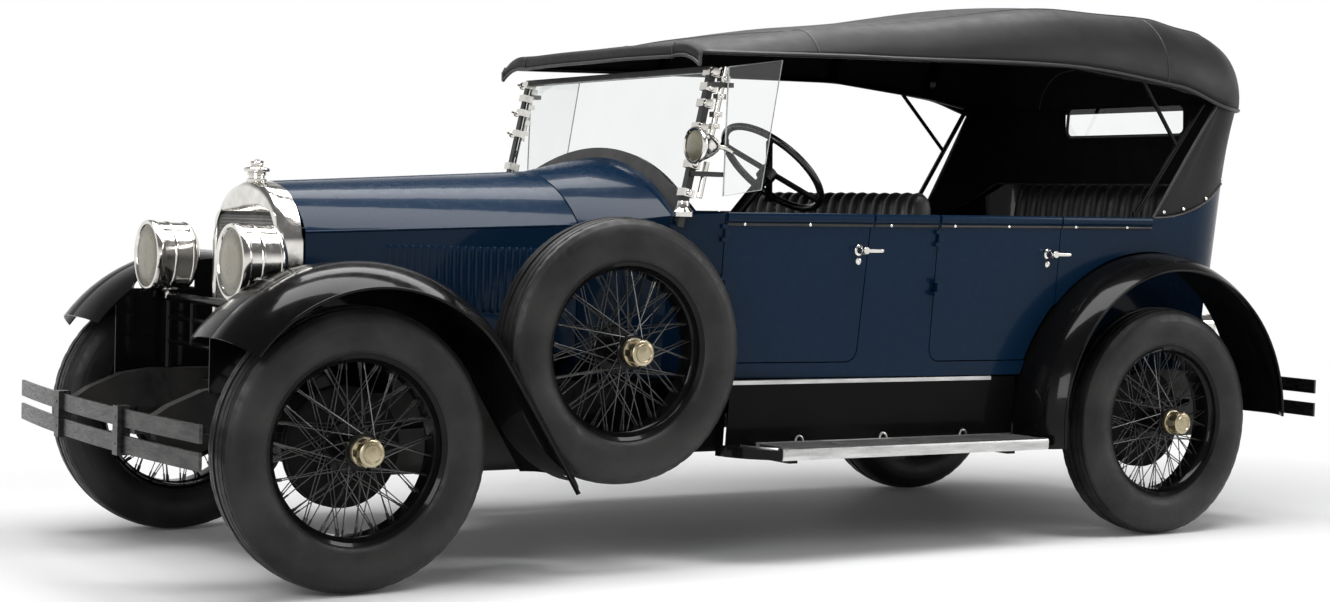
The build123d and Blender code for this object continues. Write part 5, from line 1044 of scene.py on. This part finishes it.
# Seats: sewn channels over a rounded form
def channelled(outline, half, pitch, depth):
    """A stuffed form along Y: outline rows of (x, z, puff), with channels across it every pitch."""
    loop = []
    for start, end in zip(outline, outline[1:] + outline[:1]):
        steps = max(2, int(math.hypot(end[0] - start[0], end[1] - start[1]) / 0.022))
        loop += [tuple(blend(a, b, k / steps) for a, b in zip(start, end)) for k in range(steps)]
    for _ in range(3):
        loop = [tuple((a + 2 * b + c) / 4 for a, b, c in zip(loop[k - 1], loop[k], loop[(k + 1) % len(loop)]))
                for k in range(len(loop))]
    cx = sum(p[0] for p in loop) / len(loop)
    cz = sum(p[1] for p in loop) / len(loop)
    channels = round(2 * half / pitch)
    stations = channels * 8
    rows = []
    for i in range(stations + 1):
        y = blend(-half, half, i / stations)
        crown = abs(math.sin(math.pi * channels * i / stations)) ** 0.6
        end = min(1.0, (half - abs(y)) / 0.05)
        draw = 1 - 0.16 * (1 - math.sqrt(1 - (1 - end) ** 2))
        row = []
        for k, (x, z, puff) in enumerate(loop):
            before, after = loop[k - 1], loop[(k + 1) % len(loop)]
            nx = after[1] - before[1]
            nz = before[0] - after[0]
            size = math.hypot(nx, nz) or 1.0
            away = 1 if nx * (x - cx) + nz * (z - cz) > 0 else -1
            uneven = 0.85 + 0.3 * noise.noise(Vector((x * 9, y * 9, z * 9)))
            lift = away * depth * puff * (crown - 0.75) * uneven
            row.append((cx + (x - cx) * draw + nx / size * lift, y, cz + (z - cz) * draw + nz / size * lift))
        rows.append(row)
    shape = Shape()
    shape.bar(rows)
    return shape


# Seats: piece, node, half width, channel pitch, channel depth, outline of x, z and share of the depth
SEATS = (
    ("front_cushion", "front_seat", 0.540, 0.072, 0.016,
     ((-0.405, 0.832, 0), (-0.405, 0.940, 0.4), (-0.150, 0.958, 1), (0.070, 0.962, 1), (0.095, 0.930, 0.8),
      (0.095, 0.832, 0))),
    ("front_back", "front_seat", 0.565, 0.066, 0.018,
     ((-0.430, 0.860, 0.3), (-0.448, 1.050, 1), (-0.474, 1.240, 1), (-0.500, 1.268, 1), (-0.535, 1.270, 0.8),
      (-0.562, 1.244, 0.2), (-0.545, 1.050, 0), (-0.526, 0.860, 0))),
    ("rear_cushion", "rear_seat", 0.505, 0.070, 0.016,
     ((-1.890, 0.812, 0), (-1.890, 0.920, 0.4), (-1.640, 0.938, 1), (-1.410, 0.942, 1), (-1.386, 0.910, 0.8),
      (-1.386, 0.812, 0))),
    ("rear_back", "rear_seat", 0.505, 0.066, 0.022,
     ((-1.885, 0.850, 0.3), (-1.880, 1.100, 1), (-1.912, 1.300, 1), (-1.945, 1.352, 1), (-1.995, 1.350, 0.4),
      (-2.020, 1.280, 0), (-2.030, 1.100, 0), (-1.985, 0.850, 0))),
)
for name, node, half, pitch, depth, outline in SEATS:
    shape = channelled(outline, half, pitch, depth)
    seat = build(name, shape, [LEATHER], stands_for=[node], crease=70)

# Windscreen fittings: clamps, hand screws and the wing rod on each post, and the wings' ground edges
POST_BASE = Vector((0.5685, 0.620, 1.190))
POST_TOP = Vector((0.4645, 0.620, 1.660))
POST_TURN = about((0, 0, 0), POST_TOP - POST_BASE)
CLAMP_HEIGHTS = (1.235, 1.330, 1.455, 1.535, 1.590, 1.640)
SCREW_HEIGHTS = (1.455, 1.535, 1.640)
SCREW = [(0.006, 0.0), (0.006, 0.012), (0.013, 0.014), (0.015, 0.019), (0.013, 0.024), (0.0, 0.026)]
ROD_CLIP_HEIGHTS = (1.46, 1.50, 1.56, 1.62)
POST_FOOT = [(0.036, -0.022), (0.036, -0.006), (0.028, 0.002), (0.022, 0.010), (0.020, 0.030), (0.0, 0.032)]
WING_Y = 0.667
WING_CORNERS = ((aft(1.372), 1.228), (aft(1.380), 1.660), (aft(1.600), 1.696), (aft(1.527), 1.254))


def on_post(sign, z, out=0.0, ahead=0.0):
    """A place by a side's windscreen post at a height."""
    p = POST_BASE.lerp(POST_TOP, (z - POST_BASE.z) / (POST_TOP.z - POST_BASE.z))
    return Vector((p.x + ahead, sign * (p.y + out), z))


for side, sign in SIDES:
    shape = Shape()
    for z in CLAMP_HEIGHTS:
        shape.block(on_post(sign, z), (0.042, 0.042, 0.026), POST_TURN)
        shape.dome(on_post(sign, z, 0.021), (0, sign, 0), 0.012)
    for z in SCREW_HEIGHTS:
        knob = about(on_post(sign, z, 0.020, 0.004), (0.25, sign, 0.1))
        shape.lathe(SCREW, knob, 16)
        for turn in (0.4, 0.4 + math.pi):
            shape.tube([knob @ Vector((r * math.cos(turn), r * math.sin(turn), up))
                        for r, up in ((0.010, 0.019), (0.024, 0.022))], 0.0042)
    for low, high, ahead in ((1.43, 1.66, -0.036), (1.22, 1.34, -0.040)):
        shape.tube([on_post(sign, z, 0.026, ahead) for z in (low, high)], 0.010, 12)
    for z in ROD_CLIP_HEIGHTS:
        shape.block(on_post(sign, z, 0.026, -0.036), (0.034, 0.028, 0.018))
        shape.dome(on_post(sign, z, 0.040, -0.036), (0, sign, 0), 0.009)
    shape.lathe(POST_FOOT, Matrix.Translation(on_post(sign, 1.178, 0.004)), 24)
    build(f"screen_fittings_{side}", shape, [NICKEL])
    shape = Shape()
    shape.tube([(x, sign * WING_Y, z) for x, z in WING_CORNERS], 0.0026, closed=True)
    build(f"wing_edge_{side}", shape, [GROUND], crease=60)

# Bumper bolts, on bars that bow forwards and backwards
BUMPER_HALF = 0.842
BUMPER_BOW = 0.045
BOLT_Y = 0.285
# Bumpers: face x, way out, heights of the two bars
BUMPERS = ((2.3735, 1, (0.421, 0.501)), (-2.3735, -1, (0.461, 0.553)))
shape = Shape()
for face_x, out, heights in BUMPERS:
    bolt_x = face_x + out * (0.008 - BUMPER_BOW * (BOLT_Y / BUMPER_HALF) ** 2)
    for y in (-BOLT_Y, BOLT_Y):
        for z in heights:
            shape.dome((bolt_x, y, z), (out, 0, 0), 0.010, steps=16)
build("bumper_bolts", shape, [STEEL])

# Tail lamp: bright rim and red glass
TAIL = about((-2.2835, 0.300, 0.770), (-1, 0, 0))
shape = Shape()
shape.lathe([(0.043, -0.004), (0.045, 0.002), (0.044, 0.007), (0.037, 0.008)], TAIL, 32)
shape.lathe([(0.037, 0.006), (0.030, 0.011), (0.015, 0.015), (0.0, 0.016)], TAIL, 32, mark=1)
build("tail_glass", shape, [NICKEL, RED])


# Floor and backdrop: the camera, glass and gloss see them otherwise than they light the car
def seen_rays(tree):
    """1 for rays from the camera, through glass and off gloss, 0 for the rest."""
    rays = add_node(tree, "ShaderNodeLightPath").outputs
    seen = rays["Is Camera Ray"]
    for kind in ("Is Transmission Ray", "Is Glossy Ray"):
        seen = add_node(tree, "ShaderNodeMath", {0: seen, 1: rays[kind]}, operation="MAXIMUM").outputs[0]
    return seen


def show(tree, output, share, first, second):
    """Mixes two shaders, the second by its share, and sends the result to the output."""
    mixer = add_node(tree, "ShaderNodeMixShader", {0: share, 1: first, 2: second})
    tree.links.new(mixer.outputs["Shader"], tree.nodes[output].inputs["Surface"])


def greys(tree, value, stops):
    """Colours along a value, from stops of position and colour."""
    ramp = add_node(tree, "ShaderNodeValToRGB", {"Fac": value})
    marks = ramp.color_ramp.elements
    while len(marks) < len(stops):
        marks.new(0.5)
    for mark, (position, colour) in zip(marks, stops):
        mark.position = position
        mark.color = (*colour, 1)
    return ramp.outputs["Color"]


# Away from the car the floor runs out into the white of the backdrop
FLOOR_RADII = (0.0, 4.0, 9.0, 30.0)
FLOOR_Z = -0.0005
FADE_FROM = 1.4
FADE_TO = 2.9
shape = Shape()
shape.lathe([(r, 0.0) for r in FLOOR_RADII], Matrix.Translation((0, 0, FLOOR_Z)), 64)
pale = Finish("studio_floor", Roughness=0.6, Specular_IOR_Level=0.2)
pale.feed("Base Color", pale.mix(pale.noise(0.6), (0.86, 0.86, 0.86), (0.89, 0.89, 0.89)))
fade = pale.span(pale.length((0.62, 1, 0)), FADE_FROM, FADE_TO, 0.02, 1.0)
white = pale.node("ShaderNodeEmission", {"Color": (1, 1, 1, 1), "Strength": 1.0})
show(pale.tree, "Material Output", pale.math("MULTIPLY", fade, seen_rays(pale.tree)),
     pale.bsdf.outputs["BSDF"], white.outputs["Emission"])
floor = add_object("floor", make_mesh("floor", shape, [pale.material]))

# The walls light the car dimly; the camera, glass and bright metal see a white cove under a dark ceiling
WALLS = ((0.0, (0.10, 0.10, 0.105)), (0.3, (0.2, 0.2, 0.205)), (1.0, (0.34, 0.34, 0.34)))
COVE = ((0.2, (1, 1, 1)), (0.5, (0.16, 0.16, 0.165)))
world = bpy.data.worlds.new("studio")
bpy.context.scene.world = world
world.use_nodes = True
tree = world.node_tree
coords = add_node(tree, "ShaderNodeTexCoord")
height = add_node(tree, "ShaderNodeSeparateXYZ", {"Vector": coords.outputs["Generated"]}).outputs["Z"]
walls = tree.nodes["Background"]
tree.links.new(greys(tree, height, WALLS), walls.inputs["Color"])
cove = add_node(tree, "ShaderNodeBackground", {"Color": greys(tree, height, COVE)})
show(tree, "World Output", seen_rays(tree), walls.outputs["Background"], cove.outputs["Background"])

# Soft boxes: place, aim, width, height, power
SOFT_BOXES = (((0.4, 0.7, 4.6), (0.0, 0.1, 0.6), 6.5, 1.8, 360),
              ((5.6, 4.2, 3.0), (0.9, 0.2, 0.7), 2.4, 2.0, 110),
              ((-5.5, 3.6, 3.2), (-1.2, 0.2, 0.9), 2.4, 2.0, 70),
              ((-0.8, -1.5, 4.6), (0.0, 0.0, 1.0), 5.5, 1.2, 150))
for number, (place, aim, width, height, power) in enumerate(SOFT_BOXES):
    lamp = bpy.data.lights.new(f"soft_box_{number}", "AREA")
    lamp.shape = "RECTANGLE"
    lamp.size = width
    lamp.size_y = height
    lamp.energy = power
    holder = add_object(f"soft_box_{number}", lamp)
    holder.location = place
    holder.rotation_euler = (Vector(aim) - Vector(place)).to_track_quat("-Z", "Y").to_euler()
# The last one is a bright card that only shows in the gloss of the paint
holder.visible_diffuse = False

# Camera at the photograph's place, turned by its yaw, pitch and roll
CAMERA_AT = Vector((4.5812, 6.6983, 1.1349))
CAMERA_YAW = 0.5765
CAMERA_PITCH = -0.036
CAMERA_ROLL = 0.0278
LENS_MM = 59.06
SENSOR_MM = 36.0
forward = Vector((-math.sin(CAMERA_YAW) * math.cos(CAMERA_PITCH),
                  -math.cos(CAMERA_YAW) * math.cos(CAMERA_PITCH),
                  math.sin(CAMERA_PITCH)))
level = forward.cross(Vector((0, 0, 1))).normalized()
upright = level.cross(forward)
right = math.cos(CAMERA_ROLL) * level + math.sin(CAMERA_ROLL) * upright
up = math.cos(CAMERA_ROLL) * upright - math.sin(CAMERA_ROLL) * level
view = bpy.data.cameras.new("photo_view")
view.sensor_width = SENSOR_MM
view.lens = LENS_MM
camera = add_object("photo_view", view)
camera.matrix_world = Matrix.Translation(CAMERA_AT) @ Matrix((right, up, -forward)).transposed().to_4x4()
bpy.context.scene.camera = camera
bpy.context.scene.view_settings.view_transform = "Standard"
